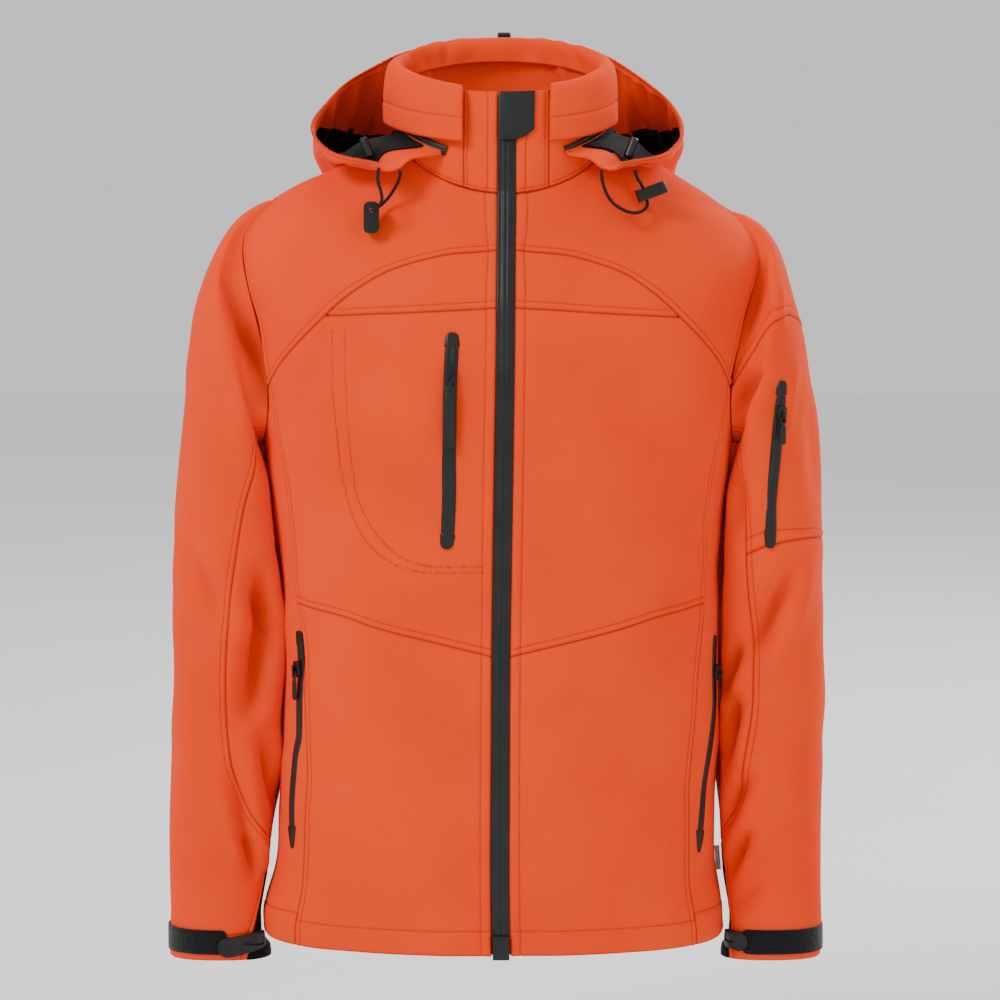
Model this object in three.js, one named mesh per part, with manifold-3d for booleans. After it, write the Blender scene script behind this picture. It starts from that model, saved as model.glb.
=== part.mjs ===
// Softshell jacket, filled out as if worn, size L. Millimetres, +Z up, the front faces -Y.
// The origin is the middle of the neck at the height where the shoulders meet the collar.
import * as THREE from "three";
import { mergeVertices } from "three/addons/utils/BufferGeometryUtils.js";
import Module from "manifold-3d";

// Driving dimensions
const WALL = 1.8;
const SEAM_GAP = 0.34;
const ZIP_HALF_WIDTH = 8.5;
const BODY_CLEARANCE = 1.6;
const CREASE_RADIUS = 8;
const LIE_ON = 0.7;
const POCKET_ZIP_WIDTH = 13;
const SLEEVE_ZIP_WIDTH = 11;
const HAND_ZIP_WIDTH = 8;
const ZIP_STRIP_HEIGHT = 1.6;
const CORD_DIAMETER = 3;

const COLOURS = {
  shell: 0xe8501f,
  black: 0x262a28,
  lining: 0x101312,
  label: 0xd8d8d4,
};

function material(colour, roughness) {
  return new THREE.MeshStandardMaterial({ color: colour, roughness, metalness: 0 });
}

const MATERIALS = {
  shell: material(COLOURS.shell, 0.75),
  black: material(COLOURS.black, 0.5),
  band: material(COLOURS.lining, 0.95),
  lining: material(COLOURS.lining, 0.95),
  label: material(COLOURS.label, 0.8),
};

const jacket = new THREE.Group();

function add(name, geometry, look) {
  const mesh = new THREE.Mesh(geometry, MATERIALS[look]);
  mesh.name = name;
  jacket.add(mesh);
}

function table(columns, rows) {
  return rows.map((row) => Object.fromEntries(columns.map((column, index) => [column, row[index]])));
}

// Smooth curve through values at rising knots
function splineAt(knots, values, place) {
  const last = knots.length - 1;
  let index = 0;
  while (index < last - 1 && place > knots[index + 1]) {
    index += 1;
  }
  const slope = (k) => {
    const low = Math.max(k - 1, 0);
    const high = Math.min(k + 1, last);
    return (values[high] - values[low]) / (knots[high] - knots[low]);
  };
  const step = knots[index + 1] - knots[index];
  const s = (place - knots[index]) / step;
  const s2 = s * s;
  const s3 = s2 * s;
  return (2 * s3 - 3 * s2 + 1) * values[index] + (s3 - 2 * s2 + s) * step * slope(index)
    + (3 * s2 - 2 * s3) * values[index + 1] + (s3 - s2) * step * slope(index + 1);
}

function rowAt(rows, knots, place) {
  const row = {};
  for (const column of Object.keys(rows[0])) {
    row[column] = splineAt(knots, rows.map((r) => r[column]), place);
  }
  return row;
}

function smooth(from, to, value) {
  const t = Math.min(1, Math.max(0, (value - from) / (to - from)));
  return t * t * (3 - 2 * t);
}

// Rings round the neck's axis. u runs from 0 at the front, 0.25 at the wearer's left side
// to 0.5 at the back, negative on the other side. v runs from 0 at the first ring to 1.
// tilt raises the wearer's right side, here negative x, and lowers the other.
const RING_COLUMNS = ["zSide", "zFront", "zBack", "left", "right", "front", "back", "round", "lean", "tilt"];
const QUARTER_STEPS = 32;

function quarter(half, depth, round) {
  const arc = [{ x: 0, y: depth, length: 0 }];
  for (let step = 1; step <= QUARTER_STEPS; step += 1) {
    const angle = (step / QUARTER_STEPS) * Math.PI / 2;
    const wide = (Math.sin(angle) / half) ** round;
    const deep = (Math.abs(Math.cos(angle)) / depth) ** round;
    const radius = (wide + deep) ** (-1 / round);
    const x = radius * Math.sin(angle);
    const y = radius * Math.cos(angle);
    const before = arc[step - 1];
    arc.push({ x, y, length: before.length + Math.hypot(x - before.x, y - before.y) });
  }
  return arc;
}

function alongArc(arc, share) {
  const target = share * arc[QUARTER_STEPS].length;
  let index = 0;
  while (index < QUARTER_STEPS - 1 && arc[index + 1].length < target) {
    index += 1;
  }
  const a = arc[index];
  const b = arc[index + 1];
  const s = (target - a.length) / (b.length - a.length);
  return { x: a.x + (b.x - a.x) * s, y: a.y + (b.y - a.y) * s };
}

function ringLoft(rows) {
  const knots = [0];
  for (let index = 1; index < rows.length; index += 1) {
    const a = rows[index - 1];
    const b = rows[index];
    const side = Math.hypot(b.zSide - a.zSide, (b.left + b.right - a.left - a.right) / 2);
    const front = Math.hypot(b.zFront - a.zFront, b.front - a.front);
    knots.push(knots[index - 1] + (side + front) / 2);
  }
  const length = knots[rows.length - 1];
  const shares = knots.map((k) => k / length);
  const rowFor = (v) => rowAt(rows, shares, v);
  const point = (uAny, v) => {
    const u = uAny > 0.5 ? uAny - 1 : uAny;
    const row = rowFor(v);
    const turn = Math.abs(u);
    const isFront = turn <= 0.25;
    const half = u < 0 ? row.left : row.right;
    const depth = isFront ? row.front : row.back;
    const place = alongArc(quarter(half, depth, row.round), isFront ? turn / 0.25 : (0.5 - turn) / 0.25);
    const weight = Math.max(0, place.y / depth) ** 1.3;
    const zEnd = isFront ? row.zFront : row.zBack;
    return new THREE.Vector3(
      Math.sign(u || 1) * place.x + (isFront ? row.lean * weight : 0),
      isFront ? -place.y : place.y,
      row.zSide + (zEnd - row.zSide) * weight - Math.sign(u) * row.tilt * (1 - weight),
    );
  };
  const at = (u, v) => withNormal(point, u, v, 0.004, 0.004, 1);
  const halfZip = (v, width) => {
    const row = rowFor(v);
    return 0.25 * width / quarter(row.right, row.front, row.round)[QUARTER_STEPS].length;
  };
  return { point, at, rowFor, halfZip, length };
}

function withNormal(point, a, b, stepA, stepB, sign) {
  const alongA = point(a + stepA, b).sub(point(a - stepA, b));
  const alongB = point(a, b + stepB).sub(point(a, b - stepB));
  return { point: point(a, b), normal: alongA.cross(alongB).normalize().multiplyScalar(sign) };
}

// Walls

function solid(positions, triangles) {
  const geometry = new THREE.BufferGeometry();
  let volume = 0;
  const a = new THREE.Vector3();
  const b = new THREE.Vector3();
  const c = new THREE.Vector3();
  for (const [i, j, k] of triangles) {
    volume += a.copy(positions[i]).dot(b.copy(positions[j]).cross(c.copy(positions[k])));
  }
  const faces = volume > 0 ? triangles : triangles.map(([i, j, k]) => [i, k, j]);
  const values = positions.flatMap((p) => p.toArray());
  geometry.setAttribute("position", new THREE.Float32BufferAttribute(values, 3));
  geometry.setIndex(faces.flat());
  geometry.computeVertexNormals();
  return geometry;
}

function insetDirection(edge, inner, before, after, normal) {
  const tangent = after.clone().sub(before).normalize();
  const inward = inner.clone().sub(edge);
  inward.addScaledVector(normal, -inward.dot(normal));
  inward.addScaledVector(tangent, -inward.dot(tangent));
  return inward.normalize();
}

// A closed wall over a grid of places. place(i, j) gives the outer point and its normal.
function wall(columns, rows, place, { thickness = WALL, gap = SEAM_GAP, out = 0 } = {}) {
  const grid = [];
  for (let i = 0; i <= columns; i += 1) {
    grid.push([]);
    for (let j = 0; j <= rows; j += 1) {
      grid[i].push(place(i, j));
    }
  }
  const clampI = (i) => Math.min(columns, Math.max(0, i));
  const clampJ = (j) => Math.min(rows, Math.max(0, j));
  const outer = [];
  const inner = [];
  for (let i = 0; i <= columns; i += 1) {
    for (let j = 0; j <= rows; j += 1) {
      const here = grid[i][j];
      const moved = here.point.clone().addScaledVector(here.normal, out);
      if (i === 0 || i === columns) {
        const next = grid[i === 0 ? 1 : columns - 1][j].point;
        const [before, after] = [clampJ(j - 1), clampJ(j + 1)].map((k) => grid[i][k].point);
        const side = insetDirection(here.point, next, before, after, here.normal);
        moved.addScaledVector(side, gap / 2);
      }
      if (j === 0 || j === rows) {
        const next = grid[i][j === 0 ? 1 : rows - 1].point;
        const [before, after] = [clampI(i - 1), clampI(i + 1)].map((k) => grid[k][j].point);
        const side = insetDirection(here.point, next, before, after, here.normal);
        moved.addScaledVector(side, gap / 2);
      }
      outer.push(moved);
      inner.push(moved.clone().addScaledVector(here.normal, -thickness));
    }
  }
  return stitched(columns, rows, outer, inner);
}

function stitched(columns, rows, outer, inner) {
  const count = outer.length;
  const id = (i, j) => i * (rows + 1) + j;
  const triangles = [];
  const quad = (a, b, c, d) => triangles.push([a, b, c], [a, c, d]);
  for (let i = 0; i < columns; i += 1) {
    for (let j = 0; j < rows; j += 1) {
      quad(id(i, j), id(i + 1, j), id(i + 1, j + 1), id(i, j + 1));
      quad(count + id(i, j), count + id(i, j + 1), count + id(i + 1, j + 1), count + id(i + 1, j));
    }
    quad(id(i, 0), count + id(i, 0), count + id(i + 1, 0), id(i + 1, 0));
    quad(id(i + 1, rows), count + id(i + 1, rows), count + id(i, rows), id(i, rows));
  }
  for (let j = 0; j < rows; j += 1) {
    quad(id(0, j + 1), count + id(0, j + 1), count + id(0, j), id(0, j));
    quad(id(columns, j), count + id(columns, j), count + id(columns, j + 1), id(columns, j + 1));
  }
  return solid([...outer, ...inner], triangles);
}

// Seam lines: [a, b] places on a surface, evenly spaced by their length in millimetres

function mixed(a, b, share) {
  return [0, 1].map((axis) => a[axis] + (b[axis] - a[axis]) * share);
}

function seamLine(rows, lengthA, lengthB) {
  const knots = rows.map((row, index) => index);
  const placeAt = (k) => [0, 1].map((axis) => splineAt(knots, rows.map((row) => row[axis]), k));
  const between = (from, to, count) => {
    const fine = 60;
    const dense = [placeAt(from)];
    const lengths = [0];
    for (let step = 1; step <= fine; step += 1) {
      dense.push(placeAt(from + (to - from) * step / fine));
      const [a0, b0] = dense[step - 1];
      const [a1, b1] = dense[step];
      lengths.push(lengths[step - 1] + Math.hypot((a1 - a0) * lengthA, (b1 - b0) * lengthB));
    }
    const places = [];
    for (let k = 0; k <= count; k += 1) {
      const target = lengths[fine] * k / count;
      let index = 0;
      while (index < fine - 1 && lengths[index + 1] < target) {
        index += 1;
      }
      const s = (target - lengths[index]) / (lengths[index + 1] - lengths[index]);
      places.push(mixed(dense[index], dense[index + 1], s));
    }
    return places;
  };
  return { between, end: rows.length - 1 };
}

// Fills four boundary lines with a grid of places
function patch(bottom, top, left, right) {
  const columns = bottom.length - 1;
  const rows = left.length - 1;
  const place = (i, j) => {
    const s = i / columns;
    const t = j / rows;
    return [0, 1].map((axis) => (1 - t) * bottom[i][axis] + t * top[i][axis]
      + (1 - s) * left[j][axis] + s * right[j][axis]
      - (1 - s) * (1 - t) * bottom[0][axis] - s * (1 - t) * bottom[columns][axis]
      - (1 - s) * t * top[0][axis] - s * t * top[columns][axis]);
  };
  return { columns, rows, place };
}

// A line whose last place stops just short of the point where two seams meet
const POINT_SHARE = 0.86;

function blunted(line) {
  return [...line.slice(0, -1), mixed(line.at(-2), line.at(-1), POINT_SHARE)];
}

// Body

const TORSO = table(RING_COLUMNS, [
  [-755, -753, -765, 229, 212, 132, 128, 2.4, -1.8, 0],
  [-731, -730, -740, 229, 211, 133, 128, 2.4, -2.2, 0],
  [-690, -690, -695, 219, 204, 134, 126, 2.4, -2.8, 0],
  [-630, -630, -633, 214.5, 203, 135, 122, 2.4, -2.9, 0],
  [-558, -558, -560, 209, 205.5, 135, 116, 2.4, -2.6, 0],
  [-470, -470, -470, 208.5, 205, 135, 112, 2.4, -2, 0],
  [-390, -392, -385, 213, 206, 138, 114, 2.5, -1, 0],
  [-318, -325, -305, 221, 211, 141, 120, 2.7, 0, 0],
  [-240, -262, -225, 231, 222, 141, 124, 2.8, 1, 0],
  [-160, -200, -150, 241, 232, 133, 122, 2.6, 2, 2],
  [-92, -150, -95, 247, 241, 119, 114, 2.3, 2.4, 5],
  [-60, -122, -62, 212, 210, 108, 104, 2.2, 2.6, 6],
  [-33, -96, -36, 165, 165, 100, 96, 2.1, 2.8, 3],
  [-13, -72, -13, 124, 124, 92, 86, 2.05, 3, 1],
  [0, -50, 8, 97, 97, 84, 72, 2.0, 3, 0],
]);
const torso = ringLoft(TORSO);
const ROUND_LENGTH = 1160;

// The armhole is an egg round the side line, narrow at the shoulder. turn is 0 at its top,
// 0.25 in front, 0.5 under the arm and 0.75 behind.
const ARMHOLE = { middle: 0.7285, half: 0.1335, width: 0.053, egg: 0.6 };

function armholePlace(turn) {
  const angle = 2 * Math.PI * turn;
  const wide = ARMHOLE.width * Math.sin(angle) * (1 - ARMHOLE.egg * Math.cos(angle));
  return [0.25 - wide, ARMHOLE.middle + ARMHOLE.half * Math.cos(angle)];
}

// Turns of the armhole where seams meet it
const YOKE_TURN = 0.315;
const BACK_SEAM_TURN = 0.685;
const BACK_YOKE_TURN = 0.78;

// How many steps each stretch of seam has
const STEPS = {
  frontInner: 8,
  frontOuter: 4,
  yokeRows: 6,
  crescentRows: 3,
  chestRows: 9,
  lowerRows: 8,
  sideColumns: 8,
  neck: 5,
  backHalf: 6,
  backArmhole: 2,
  backYokeRows: 5,
};

function turns(from, to, count) {
  return Array.from({ length: count + 1 }, (unused, index) => from + (to - from) * index / count);
}

const ARMHOLE_TURNS = {
  front: turns(YOKE_TURN, 0, STEPS.yokeRows),
  under: turns(YOKE_TURN, BACK_SEAM_TURN, STEPS.sideColumns),
  behind: turns(BACK_SEAM_TURN, BACK_YOKE_TURN, STEPS.backArmhole),
  backYoke: turns(BACK_YOKE_TURN, 1, STEPS.backYokeRows),
};

function frontEdge(from, to, count) {
  return turns(from, to, count).map((v) => [torso.halfZip(v, ZIP_HALF_WIDTH), v]);
}

const HORIZONTAL_V = 0.814;
const ARC_V = 0.91;
const WAIST_V = 0.364;
const yokeEnd = armholePlace(YOKE_TURN);
const edgeU = (v) => torso.halfZip(v, ZIP_HALF_WIDTH);

const arc = seamLine([[edgeU(ARC_V), ARC_V], [0.058, 0.896], [0.096, 0.861], [0.116, 0.821],
  [0.1345, 0.7835], [0.153, 0.749], [0.17, 0.716], yokeEnd], ROUND_LENGTH, torso.length);
const ARC_JOIN = 4;
const crossSeam = seamLine([[edgeU(HORIZONTAL_V), HORIZONTAL_V], [0.045, 0.809], [0.09, 0.7985],
  [0.1345, 0.7835]], ROUND_LENGTH, torso.length);
const princess = seamLine([yokeEnd, [0.181, 0.61], [0.179, 0.565], [0.181, 0.52], [0.187, 0.465],
  [0.187, 0.417], [0.183, 0.37], [0.177, 0.31], [0.174, 0.25], [0.171, 0.2], [0.171, 0.13],
  [0.171, 0.06], [0.172, 0]], ROUND_LENGTH, torso.length);
const PRINCESS_WAIST = 5;
const waist = seamLine([[edgeU(WAIST_V), WAIST_V], [0.049, 0.378], [0.1, 0.395], [0.135, 0.408],
  [0.187, 0.417]], ROUND_LENGTH, torso.length);
const hem = seamLine([[edgeU(0), 0], [0.09, 0], [0.172, 0]], ROUND_LENGTH, torso.length);
const backPrincess = seamLine([armholePlace(BACK_SEAM_TURN), [0.321, 0.61], [0.325, 0.52], [0.33, 0.417],
  [0.33, 0.31], [0.328, 0.2], [0.326, 0.1], [0.325, 0]], ROUND_LENGTH, torso.length);

function torsoPanel(name, side, { columns, rows, place }, options) {
  const on = (i, j) => {
    const [u, v] = place(i, j);
    return torso.at(side * u, v);
  };
  add(name, wall(columns, rows, on, options), "shell");
}

const SIDES = [{ side: -1, name: "right" }, { side: 1, name: "left" }];
const acrossFront = STEPS.frontInner + STEPS.frontOuter;

function frontPanels({ side, name }) {
  const arcInner = arc.between(0, ARC_JOIN, STEPS.frontInner);
  const arcOuter = arc.between(ARC_JOIN, arc.end, STEPS.frontOuter);
  const neckU = edgeU(1);
  const neckLine = turns(neckU, 0.25, STEPS.neck).map((u) => [u, 1]);
  const shoulderTop = armholePlace(0);
  const shoulder = turns(1, shoulderTop[1], acrossFront - STEPS.neck).map((v) => [0.25, v]);
  const topLine = [...neckLine, ...shoulder.slice(1)];
  torsoPanel(`front_yoke_${name}`, side, patch(
    [...arcInner, ...arcOuter.slice(1)],
    topLine,
    frontEdge(ARC_V, 1, STEPS.yokeRows),
    ARMHOLE_TURNS.front.map(armholePlace),
  ));
  const crossLine = crossSeam.between(0, crossSeam.end, STEPS.frontInner);
  const crossPointed = blunted(crossLine);
  const arcPointed = blunted(arcInner);
  torsoPanel(`front_crescent_${name}`, side, patch(
    crossPointed,
    arcPointed,
    frontEdge(HORIZONTAL_V, ARC_V, STEPS.crescentRows),
    turns(0, 1, STEPS.crescentRows).map((t) => mixed(crossPointed.at(-1), arcPointed.at(-1), t)),
  ));
  const waistLine = waist.between(0, waist.end, acrossFront);
  torsoPanel(`front_chest_${name}`, side, patch(
    waistLine,
    [...crossLine, ...arcOuter.slice(1)],
    frontEdge(WAIST_V, HORIZONTAL_V, STEPS.chestRows),
    princess.between(0, PRINCESS_WAIST, STEPS.chestRows).reverse(),
  ));
  torsoPanel(`front_lower_${name}`, side, patch(
    hem.between(0, hem.end, acrossFront),
    waistLine,
    frontEdge(0, WAIST_V, STEPS.lowerRows),
    princess.between(PRINCESS_WAIST, princess.end, STEPS.lowerRows).reverse(),
  ));
}

function sidePanel({ side, name }) {
  const front = [...princess.between(0, PRINCESS_WAIST, STEPS.chestRows),
    ...princess.between(PRINCESS_WAIST, princess.end, STEPS.lowerRows).slice(1)].reverse();
  const back = backPrincess.between(0, backPrincess.end, STEPS.chestRows + STEPS.lowerRows).reverse();
  torsoPanel(`side_panel_${name}`, side, patch(
    turns(0.172, 0.325, STEPS.sideColumns).map((u) => [u, 0]),
    ARMHOLE_TURNS.under.map(armholePlace),
    front,
    back,
  ));
}

function mirrored(line) {
  return line.map(([u, v]) => [1 - u, v]);
}

function backPanels() {
  const side = backPrincess.between(0, backPrincess.end, STEPS.chestRows + STEPS.lowerRows).reverse();
  const sideLine = [...side, ...ARMHOLE_TURNS.behind.slice(1).map(armholePlace)];
  const across = 2 * STEPS.backHalf;
  const yokeSide = armholePlace(BACK_YOKE_TURN);
  const yokeLine = turns(yokeSide[0], 1 - yokeSide[0], across).map((u) => {
    const dip = Math.sin(Math.PI * (u - yokeSide[0]) / (1 - 2 * yokeSide[0]));
    return [u, yokeSide[1] + 0.02 * dip];
  });
  torsoPanel("back_lower", 1, patch(
    turns(0.325, 0.675, across).map((u) => [u, 0]),
    yokeLine,
    sideLine,
    mirrored(sideLine),
  ));
  const tip = armholePlace(0)[1];
  const shoulderSteps = 4;
  const up = turns(tip, 1, shoulderSteps).map((v) => [0.25, v]);
  const neckBack = turns(0.25, 0.75, across - 2 * shoulderSteps).map((u) => [u, 1]);
  const top = [...up, ...neckBack.slice(1), ...mirrored(up).reverse().slice(1)];
  const armSide = ARMHOLE_TURNS.backYoke.map(armholePlace);
  torsoPanel("back_yoke", 1, patch(yokeLine, top, armSide, mirrored(armSide)));
}

SIDES.forEach(frontPanels);
SIDES.forEach(sidePanel);
backPanels();

// Sleeves: rings from the armhole, ring 0, to the cuff. Each ring lies in a plane from its
// outer point to its inner point; front and back are its half depths.
const SLEEVE = table(
  ["outerZ", "outerRight", "outerLeft", "innerZ", "innerRight", "innerLeft", "front", "back", "middleY"],
  [
    [-73, 247, 243, -287, 228, 222, 70, 70, 0],
    [-96, 268, 256, -300, 222, 216, 82, 84, 0],
    [-140, 285, 271, -318, 214, 208, 84, 86, 0],
    [-205, 297, 286, -345, 205, 200, 80, 84, 0],
    [-275, 304.5, 297, -385, 200, 196, 75, 80, 2],
    [-350, 311, 303, -435, 198, 194, 70, 76, 5],
    [-430, 314.5, 305, -490, 198, 194, 66, 72, 8],
    [-510, 316, 306.5, -550, 200, 194, 62, 66, 8],
    [-590, 318, 306, -615, 206, 198, 56, 58, 3],
    [-660, 318.5, 304.5, -672, 216, 204, 47, 48, -4],
    [-725, 319, 303.5, -728, 222, 208, 38, 38, -10],
    [-778, 319, 304, -778, 222, 209, 31, 31, -14],
  ],
);
const SLEEVE_KNOTS = SLEEVE.map((row, index) => index);
const SLEEVE_ROUND = 2.3;
const CUFF_RING = SLEEVE.length - 1;
// How a sleeve leaves its armhole: straight out for each ring, then into the table's rings
const SLEEVE_START = { outward: 18, down: 3, rings: 1.7 };
const HEM_SIDE_Z = -755;

// Half width of the body at a depth and height, on one side
function bodyHalfWidth(side, y, z) {
  const heights = TORSO.slice(0, 11).map((row) => row.zSide);
  const row = rowAt(TORSO.slice(0, 11), heights, Math.max(z, HEM_SIDE_Z));
  const half = side < 0 ? row.left : row.right;
  const share = Math.min(0.999, Math.abs(y) / (y < 0 ? row.front : row.back));
  return half * (1 - share ** row.round) ** (1 / row.round);
}

function clearOfBody(side, point) {
  const fade = smooth(HEM_SIDE_Z - 16, HEM_SIDE_Z - 4, point.z);
  const least = bodyHalfWidth(side, point.y, point.z) + BODY_CLEARANCE;
  const short = least - side * point.x;
  point.x += side * fade * (short + Math.hypot(short, CREASE_RADIUS)) / 2;
  return point;
}

// The armhole's own corners, so that a sleeve starts on the straight edges of the body panels
const ARMHOLE_CORNERS = [...[...ARMHOLE_TURNS.front].reverse(), ...ARMHOLE_TURNS.under.slice(1),
  ...ARMHOLE_TURNS.behind.slice(1), ...ARMHOLE_TURNS.backYoke.slice(1)];

function armholePoint(side, turnAny) {
  const turn = turnAny - Math.floor(turnAny);
  let index = 0;
  while (index < ARMHOLE_CORNERS.length - 2 && ARMHOLE_CORNERS[index + 1] < turn) {
    index += 1;
  }
  const [from, to] = [ARMHOLE_CORNERS[index], ARMHOLE_CORNERS[index + 1]];
  const [a, b] = [from, to].map((corner) => {
    const [u, v] = armholePlace(corner);
    return torso.point(side * u, v);
  });
  return a.lerp(b, (turn - from) / (to - from));
}

function sleevePoint(side, ring, turn) {
  const row = rowAt(SLEEVE, SLEEVE_KNOTS, ring);
  const [outerX, innerX] = side < 0 ? [row.outerRight, row.innerRight] : [row.outerLeft, row.innerLeft];
  const outer = new THREE.Vector3(side * outerX, row.middleY, row.outerZ);
  const inner = new THREE.Vector3(side * innerX, row.middleY, row.innerZ);
  const angle = 2 * Math.PI * turn;
  const cos = Math.cos(angle);
  const sin = Math.sin(angle);
  const radius = (Math.abs(cos) ** SLEEVE_ROUND + Math.abs(sin) ** SLEEVE_ROUND) ** (-1 / SLEEVE_ROUND);
  const point = outer.clone().add(inner).multiplyScalar(0.5);
  point.addScaledVector(outer.sub(inner).multiplyScalar(0.5), radius * cos);
  point.y -= radius * sin * (sin > 0 ? row.front : row.back);
  clearOfBody(side, point);
  const start = armholePoint(side, turn);
  start.x += side * SLEEVE_START.outward * ring;
  start.z -= SLEEVE_START.down * ring;
  return start.lerp(point, smooth(0, SLEEVE_START.rings, ring));
}

function sleeveAt(side, ring, turn) {
  const held = Math.max(ring, 0.051);
  const place = withNormal((r, t) => sleevePoint(side, r, t), held, turn, 0.05, 0.004, -side);
  return { point: sleevePoint(side, ring, turn), normal: place.normal };
}

const SEAM_TURN = ARMHOLE_TURNS.under[2];
const FRONT_SEAMS = {
  right: [[0, SEAM_TURN], [1, 0.385], [2, 0.35], [3, 0.322], [4, 0.285], [5, 0.262], [6, 0.245], [7, 0.243],
    [7.75, 0.263], [8.1, 0.292], [8.5, 0.338], [8.8, 0.39], [9, 0.44]],
  left: [[0, SEAM_TURN], [1, 0.395], [2, 0.37], [3, 0.345], [4, 0.319], [5, 0.311], [6, 0.295], [7, 0.295],
    [7.5, 0.312], [8, 0.341], [8.4, 0.385], [8.7, 0.425], [9, 0.45]],
};
const GUSSET_EDGES = {
  right: [[9, 0.44], [9.7, 0.415], [10.4, 0.375], [11, 0.337]],
  left: [[9, 0.45], [9.7, 0.438], [10.4, 0.42], [11, 0.4]],
};
const GUSSET_RING = 9;

function seamTurn(rows, ring) {
  return splineAt(rows.map((row) => row[0]), rows.map((row) => row[1]), ring);
}

function sleeveEdgeTurn(name, ring) {
  return ring <= GUSSET_RING ? seamTurn(FRONT_SEAMS[name], ring) : seamTurn(GUSSET_EDGES[name], ring);
}

function sleeveWall(label, { side, name }, columns, rows, place, look, options) {
  const on = (i, j) => {
    const [ring, turn] = place(i, j);
    return sleeveAt(side, ring, turn);
  };
  add(`${label}_${name}`, wall(columns, rows, on, options), look);
}

const UNDER_TURNS = 8;
const UNDER_GAP = 1.3;
const RING_STEPS = { upper: 12, middle: 6, forearm: 6, gusset: 4 };
const GUSSET_RINGS = turns(GUSSET_RING, CUFF_RING, RING_STEPS.gusset);

// The armhole's corners from the back seam over the shoulder to the front seam
const SAME_TURN = 1e-6;
const OUTER_TURNS = ARMHOLE_CORNERS.map((turn) => (turn > 0.5 ? turn - 1 : turn))
  .filter((turn) => Math.abs(turn) < SEAM_TURN + SAME_TURN)
  .sort((a, b) => a - b)
  .filter((turn, index, all) => index === 0 || turn - all[index - 1] > SAME_TURN);

// A place in the outer part of a sleeve, whose edges follow the long seams
function spread(name, ring, turn) {
  return turn * sleeveEdgeTurn(name, ring) / SEAM_TURN;
}

function underPart(label, sleeve, rings, look) {
  sleeveWall(label, sleeve, UNDER_TURNS, rings.length - 1, (i, j) => {
    const edge = sleeveEdgeTurn(sleeve.name, rings[j]);
    return [rings[j], edge + (1 - 2 * edge) * i / UNDER_TURNS];
  }, look, { gap: UNDER_GAP });
}

function underSleeve(sleeve, upperRings) {
  underPart("sleeve_under", sleeve, upperRings, "shell");
  underPart("sleeve_gusset", sleeve, GUSSET_RINGS, "black");
}

function wholeSleeve(sleeve) {
  const upper = turns(0, GUSSET_RING, RING_STEPS.upper);
  const rings = [...upper, ...GUSSET_RINGS.slice(1)];
  sleeveWall("sleeve_outer", sleeve, OUTER_TURNS.length - 1, rings.length - 1, (i, j) => {
    return [rings[j], spread(sleeve.name, rings[j], OUTER_TURNS[i])];
  }, "shell");
  underSleeve(sleeve, upper);
}

// The wearer's left outer sleeve is cut in three: a cap over the shoulder, a middle and a forearm
const CAP = { deepest: 2.65, turn: YOKE_TURN, curve: 1.7 };
const LOWER_SEAM = { ring: 5.35, rise: 0.4 };
const CAP_ROWS = 3;
const CAP_GAP = 1.6;

function capRing(turn) {
  const share = Math.min(1, Math.abs(turn) / CAP.turn);
  return CAP.deepest * (1 - share ** CAP.curve);
}

function lowerRing(turn) {
  return LOWER_SEAM.ring - LOWER_SEAM.rise * (1 - Math.cos(2 * Math.PI * turn));
}

function cutPart(label, sleeve, columnTurns, shares, topRing, bottomRing, options) {
  sleeveWall(label, sleeve, columnTurns.length - 1, shares.length - 1, (i, j) => {
    const turn = columnTurns[i];
    const ring = topRing(turn) + (bottomRing(turn) - topRing(turn)) * shares[j];
    return [ring, spread(sleeve.name, ring, turn)];
  }, "shell", options);
}

function cutSleeve(sleeve) {
  const inside = OUTER_TURNS.filter((turn) => Math.abs(turn) < CAP.turn - SAME_TURN);
  const first = OUTER_TURNS[OUTER_TURNS.indexOf(inside[0]) - 1];
  const start = inside[0] + (first - inside[0]) * POINT_SHARE;
  const end = inside.at(-1) + (CAP.turn - inside.at(-1)) * POINT_SHARE;
  const middle = [...OUTER_TURNS, start, end].sort((a, b) => a - b);
  const edgeRing = lowerRing(SEAM_TURN);
  const upper = turns(edgeRing, GUSSET_RING, RING_STEPS.forearm);
  const forearmRings = [...upper, ...GUSSET_RINGS.slice(1)];
  const forearm = forearmRings.map((ring) => (ring - edgeRing) / (CUFF_RING - edgeRing));
  const capTurns = [start, ...inside, end];
  cutPart("sleeve_cap", sleeve, capTurns, turns(0, 1, CAP_ROWS), () => 0, capRing, { gap: CAP_GAP });
  cutPart("sleeve_middle", sleeve, middle, turns(0, 1, RING_STEPS.middle), capRing, lowerRing);
  cutPart("sleeve_forearm", sleeve, OUTER_TURNS, forearm, lowerRing, () => CUFF_RING);
  underSleeve(sleeve, [...turns(0, edgeRing, RING_STEPS.middle), ...upper.slice(1)]);
}

wholeSleeve(SIDES[0]);
cutSleeve(SIDES[1]);

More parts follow.
